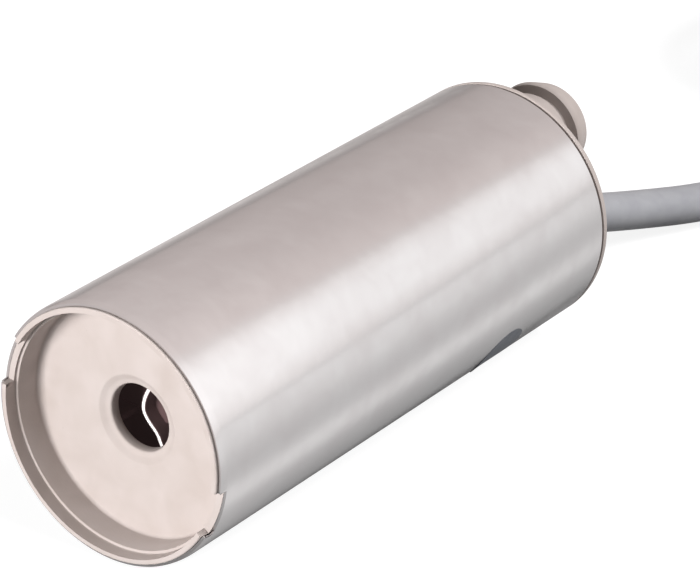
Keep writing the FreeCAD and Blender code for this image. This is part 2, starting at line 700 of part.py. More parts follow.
def make_motor_pod():
    """The pod: a cup with a seat for the seal, a seat for the motor's boss and outer ribs."""
    seal_seat = dim.seal_radius + dim.fit_gap
    boss_seat = dim.boss_radius + dim.fit_gap
    seal_back = seal_front + dim.seal_length
    body = turned("pod_body", [
        (seal_seat, dim.pod_station), (pod_radius, dim.pod_station),
        (pod_radius, pod_back), (pod_bore, pod_back), (pod_bore, can_station),
        (boss_seat, can_station), (boss_seat, boss_front), (dim.retainer_hole, boss_front),
        (dim.retainer_hole, seal_back), (seal_seat, seal_back)])
    rib_start = dim.cap_length + dim.rib_clear
    sketch = new_sketch(body, "rib_section", "XZ_Plane", rib_start)
    half = dim.rib_thickness * 0.5
    root = pod_radius - dim.pod_wall * 0.5
    draw_outline(sketch, [(root, -half), (plug_radius, -half), (plug_radius, half), (root, half)])
    rib = add_feature(body, "Pad", "rib", sketch, pod_back - rib_start, reverse=True)
    add_polar_pattern(body, "ribs", rib, dim.rib_count)
    return body


def make_shaft_seal():
    """The rubber seal: a ring with a lip that slopes to the shaft."""
    hole = dim.shaft_radius + dim.run_gap
    back = seal_front + dim.seal_length
    return turned("seal_body", [
        (hole, seal_front), (hole + dim.seal_lip, seal_front),
        (dim.seal_radius - dim.seal_lip, back - dim.seal_lip),
        (dim.seal_radius - dim.seal_lip, seal_front), (dim.seal_radius, seal_front),
        (dim.seal_radius, back), (dim.seal_radius - dim.seal_lip * 2, back),
        (hole, seal_front + dim.seal_lip)])


def make_seal_retainer():
    """The washer that keeps the seal in its seat."""
    return turned("retainer_body", tube_outline(
        dim.retainer_hole, dim.seal_radius, seal_front - dim.retainer_thickness, seal_front))


def make_pod_plug():
    """The plug that closes the pod behind the motor, with a hole for the cable."""
    disc = turned("plug_disc", [
        (0.0, plug_station), (pod_bore - dim.fit_gap, plug_station),
        (pod_bore - dim.fit_gap, pod_back), (pod_radius, pod_back),
        (pod_radius, pod_back + dim.plug_flange), (0.0, pod_back + dim.plug_flange)])
    hole = rod("plug_hole", cable_hole, plug_station - dim.plug_flange,
               dim.plug_length + dim.plug_flange * 3, z=-cable_drop)
    return cut("plug_body", disc, hole)


def make_sealing_resin():
    """The resin poured round the cable in front of the plug."""
    disc = rod("resin_disc", pod_bore - dim.fit_gap, resin_station, dim.resin_length)
    hole = rod("resin_hole", cable_hole, resin_station - dim.plug_flange,
               dim.resin_length + dim.plug_flange * 2, z=-cable_drop)
    return cut("resin_body", disc, hole)


# Motor


def make_motor_can():
    """The motor's steel can, with a boss that holds the front bush."""
    seat = dim.bush_radius + dim.fit_gap
    return turned("can_body", [
        (seat, boss_front), (dim.boss_radius, boss_front), (dim.boss_radius, can_station),
        (can_radius, can_station), (can_radius, can_back), (can_bore, can_back),
        (can_bore, can_station + dim.can_wall), (seat, can_station + dim.can_wall)])


def make_bush(name, start):
    """A plain bearing bush."""
    return turned(name, tube_outline(
        dim.shaft_radius + dim.run_gap, dim.bush_radius, start, start + dim.bush_length))


def make_end_plate():
    """The motor's plastic end plate: a seat for the rear bush and slots for the terminals."""
    seat = dim.bush_radius + dim.fit_gap
    disc = turned("end_plate_disc", tube_outline(
        seat, can_bore - dim.fit_gap, end_plate_station, can_back))
    inner = brush_outer + dim.arm_thickness
    slots = [bar(f"terminal_slot_{angle}",
                 (inner - dim.fit_gap, inner + dim.terminal_thickness + dim.fit_gap),
                 end_plate_station - dim.end_plate_thickness, dim.end_plate_thickness * 3,
                 dim.terminal_width + dim.fit_gap * 2, angle) for angle in (0, 180)]
    return cut("end_plate_body", disc, joined("terminal_slots", *slots))


def make_magnet(name, angle):
    """One curved magnet inside the can."""
    body = turned(name, tube_outline(magnet_bore, can_bore - dim.fit_gap, magnet_station,
                                     magnet_station + magnet_length),
                  rotation=around_axis(angle))
    body.Tip.Midplane = True
    body.Tip.setExpression("Angle", dim.magnet_angle.formula)
    return body


def make_motor_shaft():
    """The steel shaft, from inside the impeller's hub to behind the end plate."""
    return rod("shaft_body", dim.shaft_radius, shaft_start, can_back + dim.shaft_tail - shaft_start)


def pole_necks(name, width, start, length):
    """The necks of the rotor's three poles."""
    bars = [bar(f"{name}_{angle}", (0.0, core_outer), start, length, width, angle)
            for angle in (90, 210, 330)]
    return joined(name, *bars)


def make_rotor_core():
    """The rotor's stack of plates: three T-shaped poles round the shaft."""
    ring = cut("slot_ring", rod("slot_outside", core_outer - dim.shoe_thickness, core_station,
                                core_length),
               rod("slot_inside", dim.core_hub, core_station, core_length))
    slots = cut("core_slots", ring, pole_necks("core_necks", dim.neck_width, core_station,
                                               core_length))
    openings = [bar(f"slot_opening_{angle}",
                    (core_outer - dim.shoe_thickness * 1.5, core_outer + dim.air_gap),
                    core_station, core_length, dim.slot_opening, angle)
                for angle in (30, 150, 270)]
    hole = rod("core_hole", dim.shaft_radius + dim.fit_gap, core_station, core_length)
    stack = rod("core_stack", core_outer, core_station, core_length)
    return cut("core_body", stack, joined("core_spaces", slots, hole, *openings))


def make_rotor_windings():
    """The copper wound on the poles, as one bundle that fills the slots."""
    start = core_station - dim.winding_overhang
    length = core_length + dim.winding_overhang * 2
    outside = rod("winding_outside", winding_outer, start, length)
    inside = rod("winding_inside", dim.core_hub + dim.fit_gap, start, length)
    necks = pole_necks("winding_necks", dim.neck_width + dim.fit_gap * 2,
                       core_station - dim.fit_gap, core_length + dim.fit_gap * 2)
    return cut("winding_body", outside, joined("winding_spaces", inside, necks))


def make_commutator():
    """The commutator: a copper drum with three slits."""
    drum = turned("commutator_drum", tube_outline(
        dim.shaft_radius + dim.fit_gap, dim.commutator_radius, commutator_station,
        commutator_station + dim.commutator_length))
    slits = [bar(f"commutator_slit_{angle}",
                 (dim.commutator_radius - dim.commutator_slit, dim.commutator_radius * 2),
                 commutator_station - dim.commutator_slit,
                 dim.commutator_length + dim.commutator_slit * 2, dim.commutator_slit, angle)
             for angle in (90, 210, 330)]
    return cut("commutator_body", drum, joined("commutator_slits", *slits))


def make_brush(name, angle):
    """A carbon brush, hollowed to the commutator's curve."""
    start = commutator_station + (dim.commutator_length - dim.brush_width) * 0.5
    block = bar(name + "_block", (0.0, brush_outer), start, dim.brush_width, dim.brush_width, angle)
    hollow = rod(name + "_hollow", dim.commutator_radius + dim.run_gap,
                 start - dim.commutator_slit, dim.brush_width + dim.commutator_slit * 2)
    return cut(name, block, hollow)


def make_brush_arm(name, angle):
    """The flat spring from the end plate that presses a brush on the commutator."""
    start = commutator_station + (dim.commutator_length - dim.brush_width) * 0.5
    return bar(name, (brush_outer, brush_outer + dim.arm_thickness), start,
               end_plate_station - start, dim.brush_width, angle)


def make_terminal(name, angle):
    """A motor terminal: a blade through the end plate, joined to the spring arm."""
    inner = brush_outer + dim.arm_thickness
    return bar(name, (inner, inner + dim.terminal_thickness),
               end_plate_station - dim.terminal_inside,
               dim.terminal_inside + dim.end_plate_thickness + dim.terminal_outside,
               dim.terminal_width, angle)


def make_lead(name, side):
    """A lead inside the pod, from a terminal to the end of the cable's sheath."""
    across = (brush_outer + dim.arm_thickness + dim.terminal_thickness * 0.5).value
    terminal_end = (can_back + dim.terminal_outside).value
    start = Vector(side * across, terminal_end, 0)
    end = Vector(side * dim.lead_spread.value, resin_station.value, -cable_drop.value)
    along = Vector(0, 1, 0)
    return feature_from(name, swept_round(biarc(start, along, end, along), dim.lead_radius.value))


# Cable


def floor_point(point):
    """A point of the cable's route in the pump's coordinates."""
    x, distance, height = point
    return Vector(x, cap_face.value + distance, height - dim.sleeve_radius.value)


def heading_on_floor(angle):
    """A level direction, at an angle from +X towards +Y."""
    return Vector(math.cos(math.radians(angle)), math.sin(math.radians(angle)), 0)


def route_points():
    """The corners of the cable's run, from the gland's tip to the coil."""
    exit_point = Vector(0, gland_tip.value, -cable_drop.value)
    points = [exit_point] + [floor_point(point) for point in ROUTE]
    return points + [points[-1] + heading_on_floor(COIL_START + 90) * COIL_RUN]


def run_edges(points):
    """Straight runs joined by tangent arcs as large as the runs allow; prints their radii."""
    edges, radii, at = [], [], points[0]
    for before, corner, after in zip(points, points[1:], points[2:]):
        back = (before - corner).normalize()
        onward = (after - corner).normalize()
        half_turn = (math.pi - back.getAngle(onward)) / 2
        reach = 0.45 * min((corner - before).Length, (after - corner).Length)
        radii.append(reach / math.tan(half_turn))
        first, last = corner + back * reach, corner + onward * reach
        edges.append(Part.LineSegment(at, first).toShape())
        edges.append(arc_from(first, back * -1, last))
        at = last
    edges.append(Part.LineSegment(at, points[-1]).toShape())
    print("cable run radii:", " ".join(f"{radius:.1f}" for radius in radii))
    return edges


def coil_stations(start):
    """Where each half turn of the coil starts, with its heading."""
    pitch = dim.coil_pitch.value
    heading = heading_on_floor(COIL_START + 90)
    inward = heading_on_floor(COIL_START + 180)
    stations = [(start, heading)]
    for number, step in enumerate(COIL_STEPS):
        radius = dim.coil_inner_turn.value + pitch / 2 * step
        rise = Vector(0, 0, pitch if number in COIL_CLIMBS else 0)
        heading, point = heading * -1, stations[-1][0] + inward * (2 * radius) + rise
        inward = inward * -1
        stations.append((point, heading))
    return stations


def coil_edges(start):
    """The coil's middle line: a short straight start, then biarcs of half a turn."""
    stations = coil_stations(start)
    straight = dim.cable_radius.value * 2
    first_point, first_heading = stations[0]
    edges = [Part.LineSegment(first_point - first_heading * straight, first_point).toShape()]
    for (point, heading), (next_point, next_heading) in zip(stations, stations[1:]):
        edges += biarc(point, heading, next_point, next_heading)
    return edges, *stations[-1]


def print_coil_gap(edges):
    """Measure on points how near the coil comes to itself and print the gap."""
    spine = Part.Wire(Part.__sortEdges__(edges))
    count = 500
    points = spine.discretize(Number=count)
    step = spine.Length / (count - 1)
    apart = int(8 * dim.cable_radius.value / step)
    nearest = min(points[i].distanceToPoint(points[j])
                  for i in range(count) for j in range(i + apart, count))
    gap = nearest - 2 * dim.cable_radius.value
    print(f"coil length {spine.Length:.1f}, least gap to itself {gap:.2f}")


def make_coil_tie(start):
    """The tie round all the coil's turns, on the side where the coil starts."""
    outward = heading_on_floor(COIL_START)
    heading = heading_on_floor(COIL_START + 90)
    half_band = dim.cable_radius.value + dim.tie_gap.value
    stack = dim.coil_pitch.value * len(COIL_CLIMBS)
    span = -stack - half_band, half_band
    low = start.z - dim.cable_radius.value - dim.tie_gap.value / 6
    level = low, low + stack + 2 * dim.cable_radius.value + dim.tie_gap.value
    back = heading * (-dim.tie_width.value / 2)

    def loop(grow):
        corners = [start + outward * across + Vector(0, 0, height - start.z) + back
                   for across, height in ((span[0] - grow, level[0] - grow),
                                          (span[1] + grow, level[0] - grow),
                                          (span[1] + grow, level[1] + grow),
                                          (span[0] - grow, level[1] + grow))]
        return Part.makePolygon(corners + corners[:1])

    band = Part.Face(loop(dim.tie_thickness.value)).cut(Part.Face(loop(0.0))).Faces[0]
    return feature_from("tie_body", band.extrude(heading * dim.tie_width.value))


def core_pieces(end, heading):
    """The two cores beyond the sheath, and their bared copper ends."""
    side = Vector(-heading.y, heading.x, 0)
    pieces = {}
    for name, sign in (("brown", 1), ("blue", -1)):
        start = end + side * (sign * dim.core_spread.value)
        bend = dim.core_bend.value - sign * dim.core_spread.value
        centre = start + side * bend
        for kind, first, length, radius in (
                ("core", 0.0, dim.core_reach.value, dim.core_radius.value),
                ("copper", dim.core_reach.value, dim.copper_reach.value, dim.copper_radius.value)):
            angles = [math.degrees((first + length * share) / bend) for share in (0, 0.5, 1)]
            points = [centre + Rotation(Vector(0, 0, 1), angle).multVec(start - centre)
                      for angle in angles]
            shape = swept_round([Part.Arc(*points).toShape()], radius)
            pieces[f"{name}_{kind}"] = feature_from(f"{name}_{kind}_body", shape)
    return pieces


def make_cable():
    """The cable: its end inside the pump, its run, the coil, the tie and the bared end."""
    sheath = rod("sheath_end", dim.cable_radius, resin_station, gland_tip - resin_station,
                 z=-cable_drop)
    node(sheath, "cable_end_in_pump")
    points = route_points()
    run = swept_round(run_edges(points), dim.cable_radius.value)
    node(feature_from("run_body", run), "cable_run")
    coil_start = points[-1] + heading_on_floor(COIL_START + 90) * (2 * dim.cable_radius.value)
    edges, end, heading = coil_edges(coil_start)
    print_coil_gap(edges)
    node(feature_from("coil_body", swept_round(edges, dim.cable_radius.value)), "cable_coil")
    node(make_coil_tie(coil_start), "coil_tie")
    for name, piece in core_pieces(end, heading).items():
        node(piece, name)


def make_pump():
    """Every sub-part of the pump."""
    node(make_outer_sleeve(), "outer_sleeve")
    node(make_inlet_cap(), "inlet_cap")
    node(sealing_ring("front_ring", dim.front_groove_station), "front_sealing_ring")
    node(make_impeller(), "impeller")
    node(make_guide_ring(), "guide_ring")
    node(make_motor_pod(), "motor_pod")
    node(make_shaft_seal(), "shaft_seal")
    node(make_seal_retainer(), "seal_retainer")
    node(make_motor_can(), "motor_can")
    node(make_bush("front_bush_body", boss_front), "front_bush")
    node(make_bush("rear_bush_body", end_plate_station), "rear_bush")
    node(make_end_plate(), "motor_end_plate")
    node(make_magnet("magnet_body_above", 90), "upper_magnet")
    node(make_magnet("magnet_body_below", 270), "lower_magnet")
    node(make_motor_shaft(), "motor_shaft")
    node(make_rotor_core(), "rotor_core")
    node(make_rotor_windings(), "rotor_windings")
    node(make_commutator(), "commutator")
    for side, angle in (("right", 0), ("left", 180)):
        node(make_brush(f"{side}_brush_body", angle), f"{side}_brush")
        node(make_brush_arm(f"{side}_arm_body", angle), f"{side}_brush_arm")
        node(make_terminal(f"{side}_terminal_body", angle), f"{side}_terminal")
    node(make_lead("brown_lead_body", 1), "brown_lead")
    node(make_lead("blue_lead_body", -1), "blue_lead")
    node(make_sealing_resin(), "sealing_resin")
    node(make_pod_plug(), "pod_plug")
    node(make_outlet_cap(), "outlet_cap")
    node(sealing_ring("rear_ring", cap_face - dim.rear_groove_inset), "rear_sealing_ring")
    node(make_cable_gland(), "cable_gland")
    make_cable()


def check_and_export():
    """Stop on any failed feature or faulty solid, then write one file for each sub-part."""
    for obj in doc.Objects:
        faults = [state for state in obj.State if state in ("Invalid", "Error")]
        if faults:
            raise RuntimeError(f"{obj.Name}: {faults}")
    os.makedirs("parts", exist_ok=True)
    for obj in PARTS:
        if obj.Shape.isNull() or not obj.Shape.isValid() or not obj.Shape.Solids:
            raise RuntimeError(f"{obj.Label} has no valid solid")
    for obj in PARTS:
        obj.Shape.exportStep(f"parts/{obj.Label}.step")
        print(f"{obj.Label}: {len(obj.Shape.Solids)} solid, {obj.Shape.Volume:.1f} mm3")


make_pump()
doc.recompute()
check_and_export()
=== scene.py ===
"""Looks of a slim submersible pump for the fresh water container of a caravan.

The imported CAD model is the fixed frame. This script gives every piece of it a finish, and stands
finer meshes over the pieces that show: the sleeve, both caps, the impeller, the cable's gland and
the cable itself, which runs off to the right and lies put away as a tied coil.

Sizes are in millimetres and angles in degrees. A station is a distance along the pump's axis
behind the front edge of the inlet cap. X points to the right as the inlet is seen and Z points
up, both counted from the axis. The frame itself is in metres.
"""
import json
import logging
import math
from dataclasses import dataclass
from enum import Enum
from typing import Iterable, Sequence

import bmesh
import bpy
from bmesh.types import BMEdge, BMesh, BMFace, BMVert
from bpy.types import ID, Material, Mesh, Node, NodeOutputs, NodeSocket, NodeTree, Object
from mathutils import Matrix, Vector


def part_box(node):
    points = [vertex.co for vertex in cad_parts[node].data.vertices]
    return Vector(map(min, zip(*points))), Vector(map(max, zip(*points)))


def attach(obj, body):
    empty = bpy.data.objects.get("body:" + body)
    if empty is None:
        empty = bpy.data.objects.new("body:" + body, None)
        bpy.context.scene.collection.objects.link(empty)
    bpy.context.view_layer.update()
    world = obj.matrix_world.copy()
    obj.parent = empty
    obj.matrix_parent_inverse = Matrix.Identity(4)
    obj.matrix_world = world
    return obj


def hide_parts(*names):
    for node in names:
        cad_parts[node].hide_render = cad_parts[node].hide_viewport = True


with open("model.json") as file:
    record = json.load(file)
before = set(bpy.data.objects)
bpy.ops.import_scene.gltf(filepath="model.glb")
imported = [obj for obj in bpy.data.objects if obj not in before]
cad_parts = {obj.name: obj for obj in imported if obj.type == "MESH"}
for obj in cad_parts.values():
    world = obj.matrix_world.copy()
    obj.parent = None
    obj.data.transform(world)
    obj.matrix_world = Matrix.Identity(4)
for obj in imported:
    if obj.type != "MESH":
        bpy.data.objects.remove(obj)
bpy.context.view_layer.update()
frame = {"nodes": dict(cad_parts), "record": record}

LOG = logging.getLogger("pump")
MM = 0.001
# Places this near each other, in millimetres, count as one
NEAR = 1e-3
# Vertices this near each other, in millimetres, are merged
DOUBLE = 1e-4
# Bends smaller than these count as straight and as parallel
STRAIGHT = 1e-6
PARALLEL = 1e-9
WHITE = (1.0, 1.0, 1.0, 1.0)
UP = Vector((0.0, 0.0, 1.0))
Colour = tuple[int, int, int]
Pair = tuple[float, float]
Triple = tuple[float, float, float]
Outline = Sequence[tuple[float, ...]]


# Where things are


def pump_place() -> Matrix:
    """Find where the pump's own millimetres lie in the frame.

    Returns:
        The matrix from (x, station, z above the axis) in millimetres to the frame's metres.
    """
    cap_low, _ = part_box("inlet_cap")
    low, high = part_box("outer_sleeve")
    origin = Vector((0.0, cap_low.y, (low.z + high.z) / 2))
    return Matrix.Translation(origin) @ Matrix.Diagonal((MM, MM, MM, 1.0))


PLACE = pump_place()
IN_METRES = Matrix.Diagonal((MM, MM, MM, 1.0))


def station_of(node: str, end: int) -> float:
    """Read the station of a node's front (end 0) or back (end 1) from the frame."""
    return (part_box(node)[end].y - PLACE.translation.y) / MM


def radius_of(node: str) -> float:
    """Read a round node's outer radius in millimetres from the frame."""
    low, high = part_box(node)
    return (high.x - low.x) / 2 / MM


def across(angle: float, length: float = 1.0) -> Vector:
    """Point across the pump's axis, at an angle from +X towards +Z."""
    turn = math.radians(angle)
    return Vector((math.cos(turn) * length, 0.0, math.sin(turn) * length))


def on_floor(angle: float, length: float = 1.0) -> Vector:
    """Point along the floor, at an angle from +X towards +Y."""
    turn = math.radians(angle)
    return Vector((math.cos(turn) * length, math.sin(turn) * length, 0.0))


# Finishes


def linear(colour: Colour) -> tuple[float, float, float, float]:
    """Turn a colour as it looks on a screen, 0 to 255, into light for the shaders (sRGB curve).

    Args:
        colour: Red, green and blue as they should look.

    Returns:
        The colour in linear light, with full opacity.
    """
    levels = []
    for part in colour:
        share = part / 255
        levels.append(share / 12.92 if share <= 0.04045 else ((share + 0.055) / 1.055) ** 2.4)
    return (*levels, 1.0)


class Grain(Enum):
    """Which way the finest texture of a surface runs: how often it changes along X, Y and Z."""

    EVEN = (1.0, 1.0, 1.0)
    ROUND_THE_AXIS = (0.07, 1.0, 0.07)
    ALONG_THE_AXIS = (1.0, 0.06, 1.0)


class NodeSheet:
    """A node tree that is being drawn up, for a material, a group or the world."""

    # The places of the share, both colours and the result among a mix node's sockets
    MIX_INPUTS = (0, 6, 7)
    MIX_RESULT = 2
    SPAN_INPUTS = ("Value", "From Min", "From Max", "To Min", "To Max")

    def __init__(self, tree: NodeTree) -> None:
        """Start an empty sheet on a tree."""
        self.tree = tree
        self.tree.nodes.clear()

    def add(self, kind: str, inputs: dict[str | int, object] | None = None,
            **settings: object) -> Node:
        """Add a node.

        Args:
            kind: The node's type.
            inputs: What goes into its sockets, by name or place: another socket or a constant.
            settings: Properties of the node, by name.

        Returns:
            The new node.
        """
        node = self.tree.nodes.new(kind)
        for name, value in settings.items():
            setattr(node, name, value)
        for name, value in (inputs or {}).items():
            if isinstance(value, NodeSocket):
                self.tree.links.new(value, node.inputs[name])
            else:
                node.inputs[name].default_value = value
        return node

    def math(self, operation: str, first: object, second: object = 0.0) -> NodeSocket:
        """Add a calculation with two sockets or numbers and return its result."""
        return self.add("ShaderNodeMath", {0: first, 1: second}, operation=operation).outputs[0]

    def blend(self, share: object, first: object, second: object) -> NodeSocket:
        """Mix two colours, by how much of the second is taken, and return the mixed one."""
        inputs = dict(zip(self.MIX_INPUTS, (share, first, second)))
        return self.add("ShaderNodeMix", inputs, data_type="RGBA").outputs[self.MIX_RESULT]

    def span(self, value: NodeSocket, source: Pair, target: Pair) -> NodeSocket:
        """Map one range of a value to another, and return what is kept within it."""
        inputs = dict(zip(self.SPAN_INPUTS, (value, *source, *target)))
        return self.add("ShaderNodeMapRange", inputs, clamp=True).outputs["Result"]

    def ramp(self, value: NodeSocket, stops: Sequence[Pair],
             highest: float = 1.0) -> NodeSocket:
        """Look a level up along a line of stops.

        Args:
            value: The socket that says where on the line the level is taken.
            stops: Place and level of each stop, in order.
            highest: The level that is given out as 1.

        Returns:
            The socket that holds the level as a share of the highest.
        """
        first, last = stops[0][0], stops[-1][0]
        node = self.add("ShaderNodeValToRGB", {"Fac": self.span(value, (first, last), (0.0, 1.0))})
        elements = node.color_ramp.elements
        while len(elements) < len(stops):
            elements.new(0.5)
        for element, (place, level) in zip(elements, stops):
            element.position = (place - first) / (last - first)
            element.color = (level / highest,) * 3 + (1.0,)
        return node.outputs["Color"]

    def texture(self, group: NodeTree, place: NodeSocket, size: float,
                **numbers: float) -> NodeSocket:
        """Look a shared texture up.

        Args:
            group: The texture's group.
            place: Where it is looked up.
            size: How large its features are, in millimetres.
            numbers: The group's other inputs.

        Returns:
            The socket that holds the texture's value.
        """
        inputs = {"Vector": place, "Scale": 1 / (size * MM), **numbers}
        return self.add("ShaderNodeGroup", inputs, node_tree=group).outputs["Value"]

    def close_group(self, value: NodeSocket) -> NodeTree:
        """Lead a value out of a group, and return the group."""
        self.add("NodeGroupOutput", {"Value": value})
        return self.tree


def new_group(name: str, *numbers: str) -> tuple[NodeSheet, NodeOutputs]:
    """Start a node group that makes one value from a place and some numbers.

    Args:
        name: The group's name.
        numbers: Names of its number inputs.

    Returns:
        The sheet, and the sockets that hold what goes in.
    """
    tree = bpy.data.node_groups.new(name, "ShaderNodeTree")
    tree.interface.new_socket(name="Vector", in_out="INPUT", socket_type="NodeSocketVector")
    for title in numbers:
        tree.interface.new_socket(name=title, in_out="INPUT", socket_type="NodeSocketFloat")
    tree.interface.new_socket(name="Value", in_out="OUTPUT", socket_type="NodeSocketFloat")
    sheet = NodeSheet(tree)
    return sheet, sheet.add("NodeGroupInput").outputs


def grain_group() -> NodeTree:
    """Build the finest texture, a height: two noises of unlike size added up.

    Returns:
        The group.
    """
    sheet, given = new_group("surface_grain", "Scale")
    total = None
    for share, widen, detail, roughness in ((0.55, 1.0, 3.0, 0.6), (0.45, 0.23, 1.0, 0.5)):
        noise = sheet.add("ShaderNodeTexNoise", {
            "Vector": given["Vector"], "Scale": sheet.math("MULTIPLY", given["Scale"], widen),
            "Detail": detail, "Roughness": roughness})
        part = sheet.math("MULTIPLY", noise.outputs["Fac"], share)
        total = part if total is None else sheet.math("ADD", total, part)
    return sheet.close_group(total)


def cloud_group() -> NodeTree:
    """Build soft uneven patches, from 0 to 1, such as moulding leaves and handling brings.

    Returns:
        The group.
    """
    sheet, given = new_group("soft_clouds", "Scale")
    noise = sheet.add("ShaderNodeTexNoise", {
        "Vector": given["Vector"], "Scale": given["Scale"], "Detail": 2.5, "Roughness": 0.55,
        "Distortion": 0.3})
    return sheet.close_group(sheet.span(noise.outputs["Fac"], (0.32, 0.68), (0.0, 1.0)))


def speck_group() -> NodeTree:
    """Build sparse round specks: one in some of the cells, from 0 outside to 1 within.

    Returns:
        The group.
    """
    sheet, given = new_group("sparse_specks", "Scale", "Size", "Rarity")
    cells = sheet.add("ShaderNodeTexVoronoi", {"Vector": given["Vector"], "Scale": given["Scale"]},
                      feature="F1").outputs
    red = sheet.add("ShaderNodeSeparateColor", {"Color": cells["Color"]}).outputs["Red"]
    inside = sheet.math("LESS_THAN", cells["Distance"], given["Size"])
    chosen = sheet.math("GREATER_THAN", red, given["Rarity"])
    return sheet.close_group(sheet.math("MULTIPLY", inside, chosen))


@dataclass(frozen=True)
class Finish:
    """How one kind of surface looks.

    Colours are as they look on a screen. Sizes are in millimetres. The glow is a faint light of
    the surface's own, which stands for the light that is scattered inside a hole.
    """

    name: str
    colour: Colour
    shade: Colour
    roughness: float
    uneven: float = 0.05
    metallic: float = 0.0
    specular: float = 0.5
    coat: float = 0.0
    glow: float = 0.0
    grain: Grain = Grain.EVEN
    grain_size: float = 0.4
    grain_height: float = 0.006
    cloud_size: float = 3.0
    speck: Colour | None = None
    speck_cell: float = 4.0
    speck_radius: float = 0.09
    speck_rarity: float = 0.6
    dent_size: float = 0.0
    dent_height: float = 0.0

    def build(self, groups: dict[str, NodeTree]) -> Material:
        """Draw up the material.

        Args:
            groups: The textures that all finishes share.

        Returns:
            The material, under the finish's name.
        """
        material = bpy.data.materials.new(self.name)
        material.use_nodes = True
        sheet = NodeSheet(material.node_tree)
        place = sheet.add("ShaderNodeTexCoord").outputs["Object"]
        cloud = sheet.texture(groups["clouds"], place, self.cloud_size)
        colour = sheet.blend(cloud, linear(self.colour), linear(self.shade))
        if self.speck is not None:
            mask = sheet.texture(groups["specks"], place, self.speck_cell, Rarity=self.speck_rarity,
                                 Size=self.speck_radius / self.speck_cell)
            colour = sheet.blend(mask, colour, linear(self.speck))
        rough = (self.roughness, self.roughness + self.uneven)
        shader = sheet.add("ShaderNodeBsdfPrincipled", {
            "Base Color": colour, "Roughness": sheet.span(cloud, (0.0, 1.0), rough),
            "Normal": self.relief(sheet, groups, place), "Metallic": self.metallic,
            "Specular IOR Level": self.specular, "Coat Weight": self.coat,
            "Emission Color": linear(self.colour), "Emission Strength": self.glow})
        sheet.add("ShaderNodeOutputMaterial", {"Surface": shader.outputs["BSDF"]})
        return material

    def relief(self, sheet: NodeSheet, groups: dict[str, NodeTree],
               place: NodeSocket) -> NodeSocket:
        """Raise the finest texture, on shallow dents where the finish has them.

        Args:
            sheet: The material's nodes.
            groups: The textures that all finishes share.
            place: Where on the surface they are looked up.

        Returns:
            The socket that holds the normal.
        """
        stretched = sheet.add("ShaderNodeMapping", {"Vector": place, "Scale": self.grain.value})
        grain = sheet.texture(groups["grain"], stretched.outputs["Vector"], self.grain_size)
        inputs = {"Height": grain, "Distance": self.grain_height * MM}
        if self.dent_height:
            dents = sheet.add("ShaderNodeBump", {
                "Height": sheet.texture(groups["clouds"], place, self.dent_size),
                "Distance": self.dent_height * MM})
            inputs["Normal"] = dents.outputs["Normal"]
        return sheet.add("ShaderNodeBump", inputs).outputs["Normal"]


FINISHES = {
    "sleeve_steel": Finish(
        "satin_steel_sleeve", (200, 197, 197), (195, 191, 191), 0.14, 0.06, metallic=1.0,
        grain=Grain.ROUND_THE_AXIS, grain_size=0.26, grain_height=0.005, cloud_size=6.0,
        speck=(148, 142, 139), speck_cell=5.0, speck_rarity=0.55,
        dent_size=3.2, dent_height=0.007),
    "cap_plastic": Finish(
        "pale_moulded_plastic", (181, 171, 167), (173, 162, 157), 0.52, 0.08, specular=0.35,
        grain_size=0.42, grain_height=0.026, cloud_size=6.0,
        speck=(150, 136, 129), speck_cell=2.6, speck_radius=0.05),
    # The impeller's glow is painted light: it lifts the dark wheel inside the hole, where little
    # light reaches.
    "impeller_plastic": Finish(
        "dark_impeller_plastic", (84, 66, 66), (66, 52, 52), 0.42, 0.1, glow=0.13, grain_size=0.25,
        cloud_size=4.0),
    "dark_plastic": Finish(
        "black_moulded_plastic", (40, 36, 37), (32, 29, 30), 0.45, 0.1, grain_size=0.3,
        cloud_size=9.0),
    "black_rubber": Finish(
        "black_rubber", (34, 33, 34), (44, 43, 44), 0.72, 0.12, specular=0.3, grain_size=0.2,
        grain_height=0.008),
    "motor_steel": Finish(
        "plated_motor_steel", (186, 186, 190), (172, 172, 178), 0.3, 0.12, metallic=1.0,
        grain=Grain.ROUND_THE_AXIS, grain_size=0.18, grain_height=0.002, cloud_size=5.0),
    "bush_bronze": Finish(
        "sintered_bronze", (176, 132, 78), (148, 106, 60), 0.42, 0.15, metallic=1.0,
        grain_size=0.12, grain_height=0.008, cloud_size=1.5),
    "magnet_ferrite": Finish(
        "ground_ferrite", (74, 73, 76), (60, 59, 62), 0.55, 0.15, grain_size=0.15,
        grain_height=0.008, speck=(98, 96, 98), speck_cell=1.2),
    "copper": Finish(
        "enamelled_copper", (200, 116, 78), (176, 92, 58), 0.28, 0.12, metallic=1.0,
        grain=Grain.ALONG_THE_AXIS, grain_size=0.25, grain_height=0.012),
    "brush_carbon": Finish(
        "pressed_carbon", (54, 53, 55), (42, 41, 43), 0.5, 0.2, grain_size=0.1, cloud_size=1.2),
    "contact_brass": Finish(
        "stamped_brass", (214, 182, 110), (190, 154, 84), 0.3, 0.15, metallic=1.0,
        grain_size=0.2, grain_height=0.002, cloud_size=2.5),
    "resin": Finish(
        "poured_resin", (40, 35, 38), (28, 25, 28), 0.12, 0.1, coat=0.4, grain_size=2.5,
        grain_height=0.03, cloud_size=7.0),
    "cable_grey": Finish(
        "grey_cable_sheath", (162, 162, 166), (153, 153, 158), 0.42, 0.1, specular=0.45,
        grain_size=0.5, grain_height=0.010, cloud_size=3.2,
        speck=(138, 138, 144), speck_cell=3.0, speck_radius=0.07),
    "tie_plastic": Finish(
        "black_nylon", (36, 36, 38), (28, 28, 30), 0.38, 0.12, cloud_size=4.0),
    "brown_insulation": Finish(
        "brown_insulation", (104, 66, 44), (92, 56, 36), 0.35, 0.1),
    "blue_insulation": Finish(
        "blue_insulation", (58, 104, 178), (48, 90, 160), 0.35, 0.1),
}
